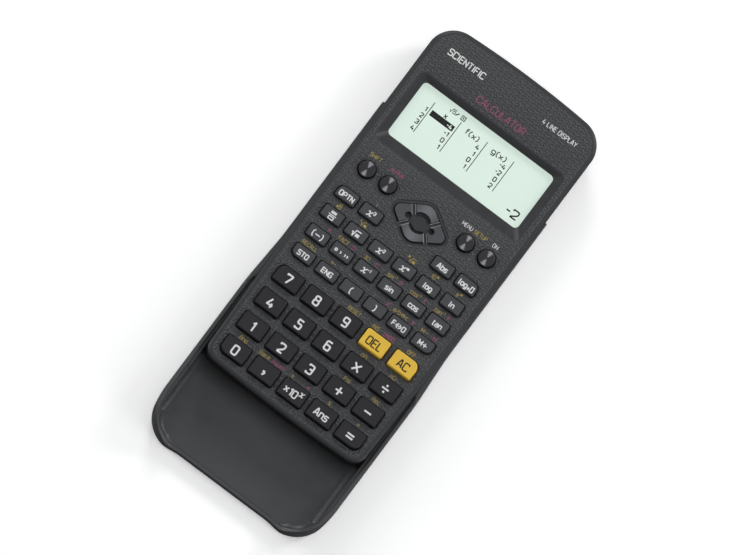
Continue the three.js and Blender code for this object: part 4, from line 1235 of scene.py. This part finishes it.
# ---------------------------------------------------------------- finishes of the CAD nodes that stay
def finish_cad_nodes():
    for node, material in (("display_window", ACRYLIC), ("key_mat", SILICONE), ("main_board", BOARD_LACQUER),
                           ("battery_cell", CELL_STEEL)):
        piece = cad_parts[node]
        piece.data.materials.clear()
        piece.data.materials.append(material)


# ---------------------------------------------------------------- stage
def floor_paint():
    """Pale matt paint. It throws little light back up, so that the object's edges stay dark."""
    nodes = Nodes("pale_floor")
    nodes.set(Specular_IOR_Level=0.1, Roughness=0.9)
    seen = nodes.new("ShaderNodeLightPath").outputs["Is Camera Ray"]
    speckle = nodes.noise(40, 3)
    pale = nodes.mixed(speckle, (0.93, 0.93, 0.93, 1), (0.95, 0.95, 0.95, 1))
    nodes.set(Emission_Color=(1, 1, 1, 1))
    nodes.link(nodes.math("MULTIPLY", seen, 0.3), nodes.shader, "Emission Strength")
    return nodes.shade(nodes.mixed(seen, (0.2, 0.2, 0.2, 1), pale))


def stage():
    plan = [(-1500, -1500), (1500, -1500), (1500, 1500), (-1500, 1500)]
    floor = Builder().loft([[(x, y, z) for x, y in plan] for z in (-3, -0.02)]).object("floor", [floor_paint()])

    world = bpy.data.worlds.new("studio")
    bpy.context.scene.world = world
    world.use_nodes = True
    tree = world.node_tree
    background = tree.nodes["Background"]
    place = tree.nodes.new("ShaderNodeTexCoord")
    split = tree.nodes.new("ShaderNodeSeparateXYZ")
    tree.links.new(place.outputs["Generated"], split.inputs[0])
    fade = tree.nodes.new("ShaderNodeMapRange")
    for socket, value in (("From Min", 0.1), ("From Max", 1.0), ("To Min", 0.04), ("To Max", 0.36)):
        fade.inputs[socket].default_value = value
    tree.links.new(split.outputs["Z"], fade.inputs["Value"])
    background.inputs["Color"].default_value = (0.97, 0.985, 1, 1)
    tree.links.new(fade.outputs["Result"], background.inputs["Strength"])

    def lamp(name, power, size, place, aim=(0, 0, 0)):
        data = bpy.data.lights.new(name, "AREA")
        data.energy, data.size = power, size
        light = bpy.data.objects.new(name, data)
        light.location = place
        light.rotation_euler = (Vector(aim) - Vector(place)).to_track_quat("-Z", "Y").to_euler()
        bpy.context.scene.collection.objects.link(light)

    lamp("far_left_light", 2.8, 0.26, (-0.45, 0.69, 0.44))
    lamp("far_right_light", 2.8, 0.26, (0.45, 0.69, 0.44))
    lamp("left_light", 4.2, 0.5, (-0.95, -0.15, 0.3))
    lamp("right_light", 3.4, 0.5, (0.95, -0.15, 0.3))
    lamp("top_light", 1.5, 0.9, (0.1, 0.0, 1.1))


def camera():
    """Parallel view, tilted back from straight down and rolled, so that the calculator lies slantwise."""
    tilt, roll = math.radians(15), math.radians(36.83)
    across = Vector((1, 0, 0))
    along = Vector((0, math.cos(tilt), math.sin(tilt)))
    right = across * math.cos(roll) + along * math.sin(roll)
    up = -across * math.sin(roll) + along * math.cos(roll)
    back = right.cross(up)
    data = bpy.data.cameras.new("camera")
    data.type = "ORTHO"
    data.ortho_scale = 0.2872
    data.clip_start, data.clip_end = 0.01, 5
    eye = bpy.data.objects.new("camera", data)
    aim = across * -0.001296 + along * -0.01234
    matrix = Matrix((right, up, back)).transposed().to_4x4()
    matrix.translation = aim + back * 0.7
    eye.matrix_world = matrix
    bpy.context.scene.collection.objects.link(eye)
    bpy.context.scene.camera = eye
    bpy.context.scene.view_settings.view_transform = "Standard"


block_keys()
round_keys()
cursor_keys()
spoke_lines()
front_case()
rear_case()
battery_cover()
screws()
slide_cover()
lcd()
face_print()
finish_cad_nodes()
stage()
camera()
